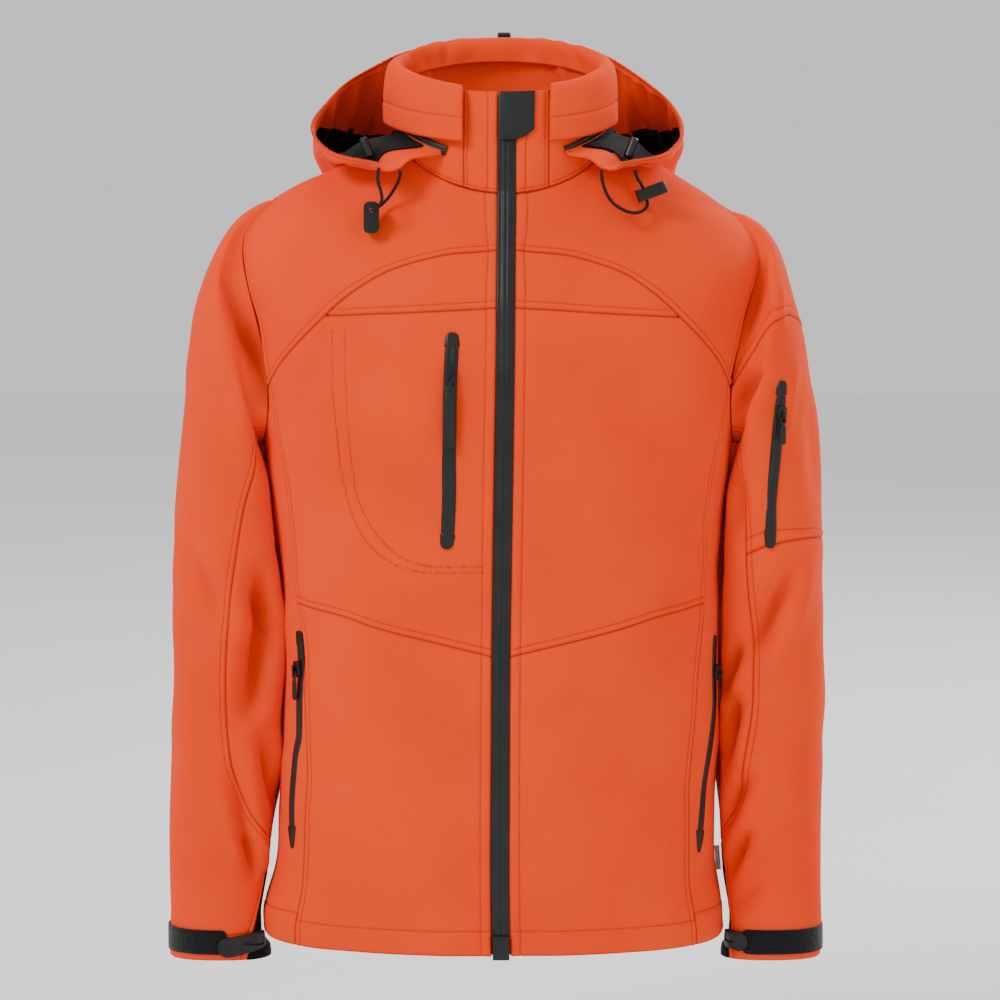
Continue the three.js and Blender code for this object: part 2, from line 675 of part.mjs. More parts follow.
// Collar: a stand from the neck seam, and an outer flap that rolls over its rim and hangs outside
const COLLAR_STAND = ringLoft(table(RING_COLUMNS, [
  [0, -50, 8, 97, 97, 84, 72, 2.0, 3, 0],
  [22, -18, 34, 99, 98, 80, 70, 2.0, 3.2, 0],
  [45, 14, 60, 100, 97, 73, 67, 2.05, 3.6, 0],
  [66, 43, 88, 100, 96, 66, 62, 2.1, 4, 0],
]));
const COLLAR_FLAP = ringLoft(table(RING_COLUMNS, [
  [14, -4, 28, 111, 107, 88, 80, 2.0, 3.4, 0],
  [40, 22, 60, 112, 107, 83, 77, 2.05, 3.6, 0],
  [60, 38, 81, 110, 105, 77, 71, 2.1, 3.8, 0],
  [71, 47, 94, 106, 101, 71, 66, 2.1, 4, 0],
  [73, 49, 96, 101, 96, 66, 61, 2.1, 4, 0],
  [66, 42, 89, 96, 91, 61, 56.5, 2.1, 4, 0],
  [50, 25, 72, 95, 90.5, 60.5, 56, 2.1, 4, 0],
]));
const FLAP_END = 40;
const STAND_FOOT = 0.02;
const STAND_TOP = 0.92;
const COLLAR_STEPS = { round: 22, rows: 3, flapRows: 8, front: 2 };

function loftWall(name, loft, columns, rows, place, look, options) {
  const on = (i, j) => {
    const [u, v] = place(i, j);
    return loft.at(u, v);
  };
  add(name, wall(columns, rows, on, options), look);
}

function collar() {
  const round = (loft, from, to) => (i, j, rows) => {
    const v = from + (to - from) * j / rows;
    const start = loft.halfZip(v, FLAP_END);
    return [start + (1 - 2 * start) * i / COLLAR_STEPS.round, v];
  };
  const { rows, flapRows, front } = COLLAR_STEPS;
  loftWall("collar_stand", COLLAR_STAND, COLLAR_STEPS.round, rows,
    (i, j) => round(COLLAR_STAND, STAND_FOOT, STAND_TOP)(i, j, rows), "shell");
  loftWall("collar_flap", COLLAR_FLAP, COLLAR_STEPS.round, flapRows,
    (i, j) => round(COLLAR_FLAP, 0, 1)(i, j, flapRows), "shell");
  for (const { side, name } of SIDES) {
    loftWall(`collar_front_${name}`, COLLAR_STAND, front, rows, (i, j) => {
      const v = STAND_FOOT + (1 - STAND_FOOT) * j / rows;
      const from = COLLAR_STAND.halfZip(v, ZIP_HALF_WIDTH);
      const to = COLLAR_STAND.halfZip(v, FLAP_END);
      return [side * (from + (to - from) * i / front), v];
    }, "shell");
  }
}

// A zip round the collar holds the hood, just outside it, from one end to the other
const HOOD_ZIP = { end: 0.1, height: 0.32, width: 9, lift: 1, thickness: 1.2, steps: 24 };
const HOOD_EDGE_OUT = HOOD_ZIP.lift + HOOD_ZIP.thickness + 1.55;
// Where the hood passes under the collar flap: this far below its edge
const HOOD_PASS = { below: 9, least: 3, out: 0.2 };

// The hood's edge on its zip, and the point straight below where it clears the flap
function hoodAttach(along) {
  const u = 0.5 - Math.abs(along) * (0.5 - HOOD_ZIP.end);
  const { point, normal } = COLLAR_STAND.at(u, HOOD_ZIP.height);
  const attach = point.addScaledVector(normal, HOOD_EDGE_OUT);
  const pass = attach.clone().addScaledVector(normal, HOOD_PASS.out);
  pass.z = Math.min(attach.z - HOOD_PASS.least, COLLAR_FLAP.point(u, 0).z - HOOD_PASS.below);
  return [attach.toArray(), pass.toArray()];
}

// Hood, hanging down behind the collar as a bag that is open upwards. Each section runs from
// the collar down the back (inner) to the bottom, up outside (outer) to the rim.
const HOOD_POINTS = ["inner", "bottom", "outer", "rim"];
const HOOD = table(["share", ...HOOD_POINTS], [
  [0, [0, 114, -50], [0, 146, -168], [0, 186, -70], [0, 146, 95]],
  [0.22, [75, 106, -48], [85, 140, -150], [110, 172, -62], [92, 132, 84]],
  [0.42, [120, 76, -20], [146, 112, -88], [168, 128, -34], [140, 96, 60]],
  [0.6, [130, 34, -7], [158, 52, -34], [182, 54, -10], [168, 48, 36]],
  [0.75, [127, -6, -5], [150, -8, -18], [172, -8, -10], [181, -6, 12]],
  [0.88, [116, -44, -11], [136, -52, -29], [156, -52, -24], [166, -46, -10]],
  [1, [82, -83, -17], [96, -90, -27], [108, -92, -29], [115, -90, -23]],
]);
const HOOD_SHARES = HOOD.map((row) => row.share);
const HOOD_NARROW = { right: 1, left: 0.935 };
const SECTION_KNOTS = [0, 0.08, 0.22, 0.5, 0.75, 1];
const HOOD_STEPS = { side: 9, centre: 8, rows: 11 };
const HOOD_SPLIT = 0.32;
const HOOD_GAP = 0.6;
// The lining starts one of the hood's rows in from the zip and ends below the facing
const LINING = { firstRow: 1, lastRow: 6, apart: 0.8, thickness: 0.8 };

function hoodPoint(along, across) {
  const share = Math.abs(along);
  const narrow = along < 0 ? HOOD_NARROW.right : HOOD_NARROW.left;
  const corner = (key, axis) => {
    const value = splineAt(HOOD_SHARES, HOOD.map((row) => row[key][axis]), share);
    return axis === 0 ? value * narrow : value;
  };
  const [attach, pass] = hoodAttach(along);
  const [x, y, z] = attach.map((start, axis) => {
    const section = [start, pass[axis], ...HOOD_POINTS.map((key) => corner(key, axis))];
    return splineAt(SECTION_KNOTS, section, across);
  });
  return new THREE.Vector3(Math.sign(along || 1) * x, y, z);
}

const hoodAt = (along, across) => withNormal(hoodPoint, along, across, 0.005, 0.01, -1);

function hood() {
  const { side, centre, rows } = HOOD_STEPS;
  const sideLine = turns(-1, -HOOD_SPLIT, side);
  const centreLine = turns(-HOOD_SPLIT, HOOD_SPLIT, centre);
  const otherLine = turns(HOOD_SPLIT, 1, side);
  const piece = (name, line, firstRow, lastRow, look, options) => {
    const on = (i, j) => hoodAt(line[i], (firstRow + j) / rows);
    add(name, wall(line.length - 1, lastRow - firstRow, on, options), look);
  };
  piece("hood_side_right", sideLine, 0, rows, "shell", { gap: HOOD_GAP });
  piece("hood_centre", centreLine, 0, rows, "shell", { gap: HOOD_GAP });
  piece("hood_side_left", otherLine, 0, rows, "shell", { gap: HOOD_GAP });
  const whole = [...sideLine.slice(1), ...centreLine.slice(1, -1), ...otherLine.slice(0, -1)];
  const { firstRow, lastRow, apart, thickness } = LINING;
  piece("hood_lining", whole, firstRow, lastRow, "lining", { out: -WALL - apart, thickness });
}

collar();
hood();

// Strips that lie on a surface, along a line of places, with a width for each step
function strip(name, at, line, widthFor, look, options = {}) {
  const { lift = LIE_ON, height = ZIP_STRIP_HEIGHT, across = 2 } = options;
  const frames = line.map(([a, b]) => at(a, b));
  const on = (i, j) => {
    const before = frames[Math.max(0, j - 1)].point;
    const after = frames[Math.min(frames.length - 1, j + 1)].point;
    const { point, normal } = frames[j];
    const side = after.clone().sub(before).cross(normal).normalize();
    const share = i / across - 0.5;
    return { point: point.clone().addScaledVector(side, share * widthFor(j / (line.length - 1))), normal };
  };
  add(name, wall(across, line.length - 1, on, { out: lift + height, thickness: height, gap: 0 }), look);
}

function rounded(width, length, endShare = 0.5) {
  return (share) => {
    const fromEnd = Math.min(share, 1 - share) * length;
    const radius = width * endShare;
    const inside = Math.min(1, fromEnd / radius);
    return width * Math.max(0.35, Math.sqrt(1 - (1 - inside) ** 2));
  };
}

// Main zip: tape and teeth from hem to collar top, bottom box and garage
const ZIP_ROWS = { body: 30, collar: 4 };
const MAIN_ZIP = { teethWidth: 7, tapeSunk: 0.4, tapeThickness: 1.2, teethOut: 1, teethThickness: 1.1 };

function mainZipWall(name, halfWidth, startV, columns, look, options) {
  const rows = ZIP_ROWS.body + ZIP_ROWS.collar;
  add(name, wall(columns, rows, (i, j) => {
    const loft = j <= ZIP_ROWS.body ? torso : COLLAR_STAND;
    const onBody = startV + (1 - startV) * j / ZIP_ROWS.body;
    const v = j <= ZIP_ROWS.body ? onBody : 0.97 * (j - ZIP_ROWS.body) / ZIP_ROWS.collar;
    return loft.at(loft.halfZip(v, halfWidth) * (2 * i / columns - 1), v);
  }, options), look);
}

function mainZip() {
  mainZipWall("zip_tape", ZIP_HALF_WIDTH, 0, 2, "black",
    { out: -MAIN_ZIP.tapeSunk, thickness: MAIN_ZIP.tapeThickness });
  mainZipWall("zip_teeth", MAIN_ZIP.teethWidth / 2, 0.03, 1, "black",
    { out: MAIN_ZIP.teethOut, thickness: MAIN_ZIP.teethThickness, gap: 0 });
}

mainZip();

// Main zip's bottom box and the garage that covers its top
const ZIP_BOX = { from: -0.004, to: 0.026, rows: 2, out: 2.4, thickness: 2.2, half: 7.5 };
const GARAGE = {
  columns: 4, rows: 5, from: 0.52, to: 1, corner: 0.09, left: -7, right: 25, out: 3, thickness: 1.4,
};

function mainZipEnds() {
  add("zip_box", wall(2, ZIP_BOX.rows, (i, j) => {
    const v = ZIP_BOX.from + (ZIP_BOX.to - ZIP_BOX.from) * j / ZIP_BOX.rows;
    return torso.at(torso.halfZip(v, ZIP_BOX.half) * (i - 1), v);
  }, { out: ZIP_BOX.out, thickness: ZIP_BOX.thickness, gap: 0 }), "black");
  add("zip_garage", wall(GARAGE.columns, GARAGE.rows, (i, j) => {
    const share = i / GARAGE.columns;
    const low = GARAGE.from + GARAGE.corner * smooth(0.6, 1, share);
    const v = low + (GARAGE.to - low) * j / GARAGE.rows;
    const x = GARAGE.left + (GARAGE.right - GARAGE.left) * share;
    return COLLAR_STAND.at(COLLAR_STAND.halfZip(v, Math.abs(x)) * Math.sign(x), v);
  }, { out: GARAGE.out, thickness: GARAGE.thickness, gap: 0 }), "black");
}

// Pocket zips: a strip with its slider and a pull tab that hangs from the slider's arch
const SLIDER = { width: 8.4, length: 15, height: 2.8, round: 2.4, apart: 0.35 };
const ARCH = { length: 8, height: 3.6, wall: 1, width: 1.8, foot: 0.2, sunk: 0.5 };
const PULL = {
  eyeWidth: 6.6, eyeLength: 6.8, eyeHole: 3.6, bar: 1.2, barRoom: 0.4, thickness: 1.3, chamfer: 0.8,
  ring: 1.4, neck: 3.4, neckLength: 1.4, shoulder: 2, round: 2,
};

const library = await Module();
library.setup();

function asSolid(geometry) {
  const bare = new THREE.BufferGeometry();
  bare.setAttribute("position", geometry.getAttribute("position").clone());
  if (geometry.index) {
    bare.setIndex(geometry.index.clone());
  }
  const merged = mergeVertices(bare, 1e-4);
  return new library.Manifold(new library.Mesh({
    numProp: 3,
    vertProperties: new Float32Array(merged.attributes.position.array),
    triVerts: new Uint32Array(merged.index.array),
  }));
}

function asGeometry(body) {
  const mesh = body.getMesh();
  const geometry = new THREE.BufferGeometry();
  geometry.setAttribute("position", new THREE.Float32BufferAttribute(mesh.vertProperties, 3));
  geometry.setIndex(Array.from(mesh.triVerts));
  geometry.computeVertexNormals();
  return geometry;
}

function roundedOutline(width, low, high, radius) {
  const shape = new THREE.Shape();
  const half = width / 2;
  shape.moveTo(-half + radius, low);
  shape.lineTo(half - radius, low);
  shape.absarc(half - radius, low + radius, radius, -Math.PI / 2, 0);
  shape.lineTo(half, high - radius);
  shape.absarc(half - radius, high - radius, radius, 0, Math.PI / 2);
  shape.lineTo(-half + radius, high);
  shape.absarc(-half + radius, high - radius, radius, Math.PI / 2, Math.PI);
  shape.lineTo(-half, low + radius);
  shape.absarc(-half + radius, low + radius, radius, Math.PI, 1.5 * Math.PI);
  return shape;
}

function slab(shape, thickness, curveSegments = 4) {
  return new THREE.ExtrudeGeometry(shape, { depth: thickness, bevelEnabled: false, curveSegments });
}

// Slider in its own frame: x across the zip, y up along it, z out of the cloth, base at z = 0
function sliderGeometry() {
  const half = SLIDER.length / 2;
  const body = asSolid(slab(roundedOutline(SLIDER.width, -half, half, SLIDER.round), SLIDER.height));
  const reach = ARCH.length / 2;
  const inside = reach - ARCH.wall;
  const ceiling = ARCH.height - ARCH.wall;
  const side = new THREE.Shape([
    [-reach, -ARCH.sunk], [reach, -ARCH.sunk], [reach, ceiling], [inside, ARCH.height],
    [-inside, ARCH.height], [-reach, ceiling],
  ].map(([x, y]) => new THREE.Vector2(x, y)));
  side.holes.push(new THREE.Path([
    [-inside, ARCH.foot], [-inside, ceiling], [inside, ceiling], [inside, ARCH.foot],
  ].map(([x, y]) => new THREE.Vector2(x, y))));
  const arch = slab(side, ARCH.width);
  arch.translate(0, 0, -ARCH.width / 2);
  const turned = new THREE.Matrix4().makeBasis(
    new THREE.Vector3(0, 1, 0),
    new THREE.Vector3(0, 0, 1),
    new THREE.Vector3(1, 0, 0),
  );
  arch.applyMatrix4(turned);
  arch.translate(0, 0, SLIDER.height);
  return asGeometry(body.add(asSolid(arch)));
}

// Where a pull's bar lies in its slider's arch
const BAR_PLACE = new THREE.Vector3(
  0,
  PULL.bar / 2 + PULL.barRoom - (ARCH.length / 2 - ARCH.wall),
  SLIDER.height + (ARCH.foot + ARCH.height - ARCH.wall) / 2,
);

// Pull tab in its own frame: it hangs down -y from the bar at the origin, z is its thickness
function pullGeometry(gripWidth, length) {
  const eye = PULL.eyeWidth / 2;
  const grip = gripWidth / 2;
  const neck = PULL.neck / 2;
  const neckEnd = -PULL.eyeLength - PULL.neckLength;
  const corner = PULL.round * 0.3;
  const half = [
    [eye - PULL.chamfer, PULL.bar / 2],
    [eye, PULL.bar / 2 - PULL.chamfer],
    [eye, 1 - PULL.eyeLength],
    [neck, -PULL.eyeLength],
    [neck, neckEnd],
    [grip, neckEnd - PULL.shoulder],
    [grip, -length + PULL.round],
    [grip - corner, -length + corner],
    [grip - PULL.round, -length],
  ];
  const outline = [...half, ...half.map(([x, y]) => [-x, y]).reverse()];
  const shape = new THREE.Shape(outline.map(([x, y]) => new THREE.Vector2(x, y)));
  const hole = PULL.eyeHole / 2;
  const top = -PULL.bar / 2;
  const low = PULL.ring - PULL.eyeLength;
  shape.holes.push(new THREE.Path([[-hole, top], [-hole, low], [hole, low], [hole, top]]
    .map(([x, y]) => new THREE.Vector2(x, y))));
  const geometry = slab(shape, PULL.thickness);
  geometry.translate(0, 0, -PULL.thickness / 2);
  return geometry;
}

function place(name, geometry, look, origin, xAxis, yAxis, zAxis) {
  const mesh = new THREE.Mesh(geometry, MATERIALS[look]);
  mesh.name = name;
  mesh.position.copy(origin);
  mesh.quaternion.setFromRotationMatrix(new THREE.Matrix4().makeBasis(xAxis, yAxis, zAxis));
  jacket.add(mesh);
}

const UP = new THREE.Vector3(0, 0, 1);
const torsoPlaces = (side) => (u, v) => torso.at(side * u, v);
const leftSleeve = (ring, turn) => sleeveAt(1, ring, turn);

// line gives places from the top down, sliderAt the slider's share of it, lean is in degrees
const ZIP_COLUMNS = [
  "name", "at", "line", "width", "steps", "sliderAt", "grip", "pullLength", "lean", "lift",
];
const POCKET_ZIPS = table(ZIP_COLUMNS, [
  ["chest", torsoPlaces(-1), [[0.039, 0.779], [0.04, 0.7], [0.04, 0.62], [0.042, 0.52], [0.044, 0.495]],
    POCKET_ZIP_WIDTH, 14, 0.2, 9.5, 66, 6.5, LIE_ON],
  ["sleeve", leftSleeve, [[2.6, 0.183], [3, 0.205], [3.5, 0.223], [4.1, 0.244], [4.5, 0.247], [4.8, 0.249]],
    SLEEVE_ZIP_WIDTH, 10, 0.17, 6, 26, 0, 0.9],
  ["hand_right", torsoPlaces(-1), [[0.188, 0.382], [0.185, 0.347], [0.183, 0.3], [0.184, 0.256],
    [0.19, 0.227], [0.19, 0.182], [0.189, 0.145], [0.186, 0.117]],
    HAND_ZIP_WIDTH, 12, 0.17, 6, 27, 0, LIE_ON],
  ["hand_left", torsoPlaces(1), [[0.207, 0.373], [0.208, 0.313], [0.206, 0.274], [0.198, 0.225],
    [0.192, 0.173], [0.187, 0.141], [0.184, 0.112]],
    HAND_ZIP_WIDTH, 12, 0.17, 6, 27, 0, LIE_ON],
]);

function pocketZip({ name, at, line, width, steps, sliderAt, grip, pullLength, lean, lift }) {
  const route = seamLine(line, 1, 1);
  const places = route.between(0, route.end, steps);
  const ends = places.map(([a, b]) => at(a, b).point);
  const length = ends.slice(1).reduce((sum, point, index) => sum + point.distanceTo(ends[index]), 0);
  strip(`zip_${name}`, at, places, rounded(width, length), "black", { lift });
  const slot = sliderAt * steps;
  const [a, b] = mixed(places[Math.floor(slot)], places[Math.ceil(slot)], slot % 1);
  const { point, normal } = at(a, b);
  const along = ends[Math.floor(slot)].clone().sub(ends[Math.ceil(slot)]);
  along.addScaledVector(normal, -along.dot(normal)).normalize();
  const across = along.clone().cross(normal);
  const base = point.clone().addScaledVector(normal, lift + ZIP_STRIP_HEIGHT + SLIDER.apart);
  place(`slider_${name}`, sliderGeometry(), "black", base, across, along, normal);
  const bar = base.clone().addScaledVector(along, BAR_PLACE.y).addScaledVector(normal, BAR_PLACE.z);
  const hinge = normal.clone().cross(UP).normalize();
  const upward = UP.clone().applyAxisAngle(hinge, THREE.MathUtils.degToRad(lean));
  const outward = hinge.clone().cross(upward);
  place(`pull_${name}`, pullGeometry(grip, pullLength), "black", bar, hinge, upward, outward);
}

// Cuffs: a hook-and-loop band round the front of each sleeve and a rubber tab that closes it
const CUFFS = table(["side", "bandFrom", "bandTo", "tabFrom", "tabTo", "tabFromRing", "tabToRing"], [
  [-1, -0.3, 0.25, 0.262, 0.4, 10.76, 10.58],
  [1, -0.3, 0.325, 0.338, 0.43, 10.64, 10.6],
]);
const BAND = { from: 10.4, to: 10.87, columns: 16, rows: 2, out: 2.1, thickness: 1.4 };
const TAB = { width: 19, height: 2.6, lift: 1.6, steps: 9, endWidth: 0.55, rounding: 2.2 };

function cuff({ side, bandFrom, bandTo, tabFrom, tabTo, tabFromRing, tabToRing }) {
  const name = side < 0 ? "right" : "left";
  add(`cuff_band_${name}`, wall(BAND.columns, BAND.rows, (i, j) => {
    const ring = BAND.from + (BAND.to - BAND.from) * j / BAND.rows;
    return sleeveAt(side, ring, bandFrom + (bandTo - bandFrom) * i / BAND.columns);
  }, { out: BAND.out, thickness: BAND.thickness, gap: 0 }), "band");
  const line = turns(0, 1, TAB.steps).map((share) => [tabFromRing + (tabToRing - tabFromRing) * share,
    tabFrom + (tabTo - tabFrom) * share]);
  const width = (share) => TAB.width * Math.min(1, TAB.endWidth + share * TAB.rounding);
  strip(`cuff_tab_${name}`, (ring, turn) => sleeveAt(side, ring, turn), line, width, "black",
    { lift: TAB.lift, height: TAB.height });
}

// Hood hardware: cord locks, loop cords with their toggles, rear tab, hood zip
const LOCK = { radius: 4.4, length: 20, apart: 4.7, along: 0.9, across: 0.3, lean: [0.35, 0.25, 0.9] };
const TOGGLE = { width: 14, length: 29, depth: 11, round: 5, hole: 2.2, aboveHole: 8 };
const REAR_TAB = { half: 0.022, from: 0.86, to: 0.995, rows: 3, out: 2, thickness: 1.2 };
const REAR_TOGGLE = { radius: 3.4, length: 13, place: [1, 148, 98.4] };
const BARREL = { chamfer: 1.5, endShare: 0.7, sides: 12 };

function barrel(radius, length) {
  const half = length / 2;
  const end = radius * BARREL.endShare;
  const profile = [
    [0, -half],
    [end, -half],
    [radius, -half + BARREL.chamfer],
    [radius, half - BARREL.chamfer],
    [end, half],
    [0, half],
  ];
  return new THREE.LatheGeometry(profile.map(([x, y]) => new THREE.Vector2(x, y)), BARREL.sides);
}

// The toggle's hole is at the origin, along z, and its long end hangs down -y
function toggleGeometry() {
  const { width, length, round, aboveHole } = TOGGLE;
  const shape = roundedOutline(width, aboveHole - length, aboveHole, round);
  const hole = new THREE.Path();
  hole.absarc(0, 0, TOGGLE.hole, 0, 2 * Math.PI, true);
  shape.holes.push(hole);
  const geometry = slab(shape, TOGGLE.depth, 6);
  geometry.translate(0, 0, -TOGGLE.depth / 2);
  return geometry;
}

// Routes of the two loops, from the outer eyelet through the toggle to the inner one, or back
const CORDS = {
  right: [[-114, -91, -26.5], [-115, -93, -32], [-114.5, -96, -39], [-112, -98, -47], [-111, -100, -55],
    [-114, -102, -61], [-119, -100, -64], [-121, -94, -65], [-121, -88, -65], [-121, -82, -65],
    [-118, -77.5, -64], [-112, -76, -60], [-106, -77.5, -54], [-101, -81, -47], [-97, -85.5, -40],
    [-94.8, -89, -34], [-94.5, -90.5, -28.5]],
  left: [[90, -91, -28.3], [90, -92.5, -33], [91, -94, -39], [93, -95, -46], [96.5, -95, -53],
    [101.5, -94, -59], [108, -91, -63.5], [115, -87, -66.5], [122, -81.5, -67.5], [129, -75.5, -65.5],
    [133, -71, -60.5], [132.2, -69.2, -55], [130.6, -69, -50.5], [129, -69.2, -46], [127, -71, -41],
    [124, -74, -37], [122, -76, -32], [121, -76.5, -28.5]],
};
const CORD_SIDES = 8;
const CORD_STEPS = 24;

function cordGeometry(route) {
  const path = new THREE.CatmullRomCurve3(route.map(([x, y, z]) => new THREE.Vector3(x, y, z)));
  const section = new THREE.Shape();
  for (let k = 0; k < CORD_SIDES; k += 1) {
    const angle = 2 * Math.PI * k / CORD_SIDES;
    const corner = [Math.cos(angle), Math.sin(angle)].map((value) => value * CORD_DIAMETER / 2);
    if (k === 0) {
      section.moveTo(...corner);
    } else {
      section.lineTo(...corner);
    }
  }
  return new THREE.ExtrudeGeometry(section, { steps: CORD_STEPS, extrudePath: path, curveSegments: 1 });
}

function cordLock({ side, name }) {
  const { point, normal } = hoodAt(side * LOCK.along, LOCK.across);
  const inside = WALL + LINING.apart + LINING.thickness + LOCK.radius + LOCK.apart;
  const middle = point.addScaledVector(normal, -inside);
  const leaning = new THREE.Vector3(...LOCK.lean).multiply(new THREE.Vector3(side, 1, 1)).normalize();
  const across = leaning.clone().cross(normal).normalize();
  const lock = barrel(LOCK.radius, LOCK.length);
  place(`cord_lock_${name}`, lock, "black", middle, across, leaning, across.clone().cross(leaning));
}

// Each loop's toggle has its hole round the cord, here at one of the route's points
const THREADED = { right: 8, left: 12 };
const LEFT_TOGGLE_TURN = THREE.MathUtils.degToRad(20);

function loopAndToggle(name, holeAxis, upAxis) {
  add(`cord_${name}`, cordGeometry(CORDS[name]), "black");
  const origin = new THREE.Vector3(...CORDS[name][THREADED[name]]);
  const across = upAxis.clone().cross(holeAxis);
  place(`toggle_${name}`, toggleGeometry(), "black", origin, across, upAxis, holeAxis);
}

function hoodHardware() {
  SIDES.forEach(cordLock);
  loopAndToggle("right", new THREE.Vector3(0, 1, 0), UP);
  const [sin, cos] = [Math.sin(LEFT_TOGGLE_TURN), Math.cos(LEFT_TOGGLE_TURN)];
  loopAndToggle("left", new THREE.Vector3(-sin, 0, cos), new THREE.Vector3(-cos, 0, -sin));
  add("hood_rear_tab", wall(2, REAR_TAB.rows, (i, j) => {
    const across = REAR_TAB.from + (REAR_TAB.to - REAR_TAB.from) * j / REAR_TAB.rows;
    return hoodAt(REAR_TAB.half * (i - 1), across);
  }, { out: REAR_TAB.out, thickness: REAR_TAB.thickness, gap: 0 }), "black");
  const rear = barrel(REAR_TOGGLE.radius, REAR_TOGGLE.length);
  rear.rotateZ(Math.PI / 2);
  const [x, y, z] = [[1, 0, 0], [0, 1, 0], [0, 0, 1]].map((axis) => new THREE.Vector3(...axis));
  place("hood_rear_toggle", rear, "black", new THREE.Vector3(...REAR_TOGGLE.place), x, y, z);
  const { end, height, width, lift, thickness, steps } = HOOD_ZIP;
  const zipLine = turns(end, 1 - end, steps).map((u) => [u, height]);
  strip("hood_zip", COLLAR_STAND.at, zipLine, () => width, "black", { lift, height: thickness, across: 1 });
}

// A small blank label sewn into the wearer's left side seam
const LABEL = { u: 0.262, v: 0.083, out: 5, thick: 0.8, high: 24, apart: 0.8 };

function sideLabel() {
  const label = new THREE.BoxGeometry(LABEL.out, LABEL.thick, LABEL.high);
  const { point, normal } = torso.at(LABEL.u, LABEL.v);
  const along = normal.clone().cross(new THREE.Vector3(0, 1, 0)).normalize();
  point.addScaledVector(normal, LABEL.out / 2 + LABEL.apart);
  place("side_label", label, "label", point, normal, along.clone().cross(normal), along);
}

mainZipEnds();
POCKET_ZIPS.forEach(pocketZip);
CUFFS.forEach(cuff);
hoodHardware();
sideLabel();

export default jacket;
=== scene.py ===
import math

import bmesh
import bpy
import numpy as np
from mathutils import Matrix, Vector


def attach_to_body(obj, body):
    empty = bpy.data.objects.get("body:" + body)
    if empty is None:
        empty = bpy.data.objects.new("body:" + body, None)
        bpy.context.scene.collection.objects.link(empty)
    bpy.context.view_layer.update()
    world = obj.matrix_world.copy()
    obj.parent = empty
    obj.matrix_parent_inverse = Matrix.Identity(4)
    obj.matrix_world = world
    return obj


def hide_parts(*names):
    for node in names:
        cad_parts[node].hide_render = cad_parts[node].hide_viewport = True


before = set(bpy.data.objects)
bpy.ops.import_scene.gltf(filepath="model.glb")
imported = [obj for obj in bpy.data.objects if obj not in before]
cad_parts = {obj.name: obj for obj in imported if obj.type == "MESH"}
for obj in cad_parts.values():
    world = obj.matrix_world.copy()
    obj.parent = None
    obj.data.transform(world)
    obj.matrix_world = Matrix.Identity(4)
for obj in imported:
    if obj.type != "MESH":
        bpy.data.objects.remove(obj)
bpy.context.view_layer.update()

# Looks of a filled-out softshell jacket. Lengths are in millimetres until a mesh is made.
MM = 0.001
WALL = 1.8
SEAM_GAP = 0.03
ZIP_HALF_WIDTH = 8.5
BODY_CLEARANCE = 1.6
CREASE_RADIUS = 8
CLOTH_STEP = 6
TOPSTITCH = 6
ARMHOLE_TOPSTITCH = 7.5
NECK_TOPSTITCH = 3.5
ZIP_TOPSTITCH = 9.5
HEM_TOPSTITCH = 24
JACKET = "jacket"
# Name of the point attribute that holds painted shade: the cloth's colour darkened in fold troughs, seam
# grooves and along stitches
PAINTED_SHADE = "painted_shade"


def smooth(start, end, value):
    t = np.clip((value - start) / (end - start), 0, 1)
    return t * t * (3 - 2 * t)


def bump(distance, width):
    """A soft hill, 1 at no distance and almost 0 at twice the width."""
    return np.exp(-(distance / width) ** 2)


def neighbours(knots):
    """Each knot's neighbours on both sides, with the knot itself past an end."""
    each = np.arange(len(knots))
    return np.maximum(each - 1, 0), np.minimum(each + 1, len(knots) - 1)


def between_knots(s, step, start, end, start_slope, end_slope):
    """Smooth curve between two knots' values and slopes, at the share s of the step."""
    s2 = s * s
    s3 = s2 * s
    return ((2 * s3 - 3 * s2 + 1) * start + (s3 - 2 * s2 + s) * step * start_slope
            + (3 * s2 - 2 * s3) * end + (s3 - s2) * step * end_slope)


def spline(knots, values, place):
    """Smooth curve through rows of values at rising knots, as the solids have it."""
    knots = np.asarray(knots, float)
    values = np.asarray(values, float).reshape(len(knots), -1)
    place = np.asarray(place, float)
    low, high = neighbours(knots)
    slope = (values[high] - values[low]) / (knots[high] - knots[low])[:, None]
    index = np.searchsorted(knots[1:-1], place, side="left")
    after = index + 1
    step = (knots[after] - knots[index])[..., None]
    s = (place - knots[index])[..., None] / step
    return between_knots(s, step, values[index], values[after], slope[index], slope[after])


def smooth_line(line, count):
    """A number of places along the smooth line through a row of places."""
    return spline(np.arange(len(line)), line, np.linspace(0, len(line) - 1, count))


def lengths_along(points):
    """The length of a line of points up to each of them."""
    steps = np.linalg.norm(np.diff(points, axis=0), axis=1)
    return np.concatenate([[0], np.cumsum(steps)])


def read_off(rows, knots, target):
    """Rows of values at rising knots, read in straight lines at the target."""
    return np.stack([np.interp(target, knots, column) for column in np.transpose(rows)], -1)


def named(columns, rows):
    """The columns of a table or grid of rows, under their names."""
    return dict(zip(columns, np.moveaxis(rows, -1, 0)))


def add_object(name, data):
    made = bpy.data.objects.new(name, data)
    bpy.context.scene.collection.objects.link(made)
    return made


# Camera, at the photograph's height and distance, looking slightly down
CAMERA = {"place": (-3, -3400, 30), "aim_drop": 372, "lens": 129.6, "sensor": 36, "farthest": 50000}


def make_camera():
    data = bpy.data.cameras.new("camera")
    data.lens = CAMERA["lens"]
    data.sensor_width = CAMERA["sensor"]
    data.clip_end = CAMERA["farthest"] * MM
    camera = add_object("camera", data)
    camera.location = Vector(CAMERA["place"]) * MM
    pitch = math.atan2(CAMERA["aim_drop"], -CAMERA["place"][1])
    camera.rotation_euler = (math.pi / 2 - pitch, 0, 0)
    bpy.context.scene.camera = camera


# Materials


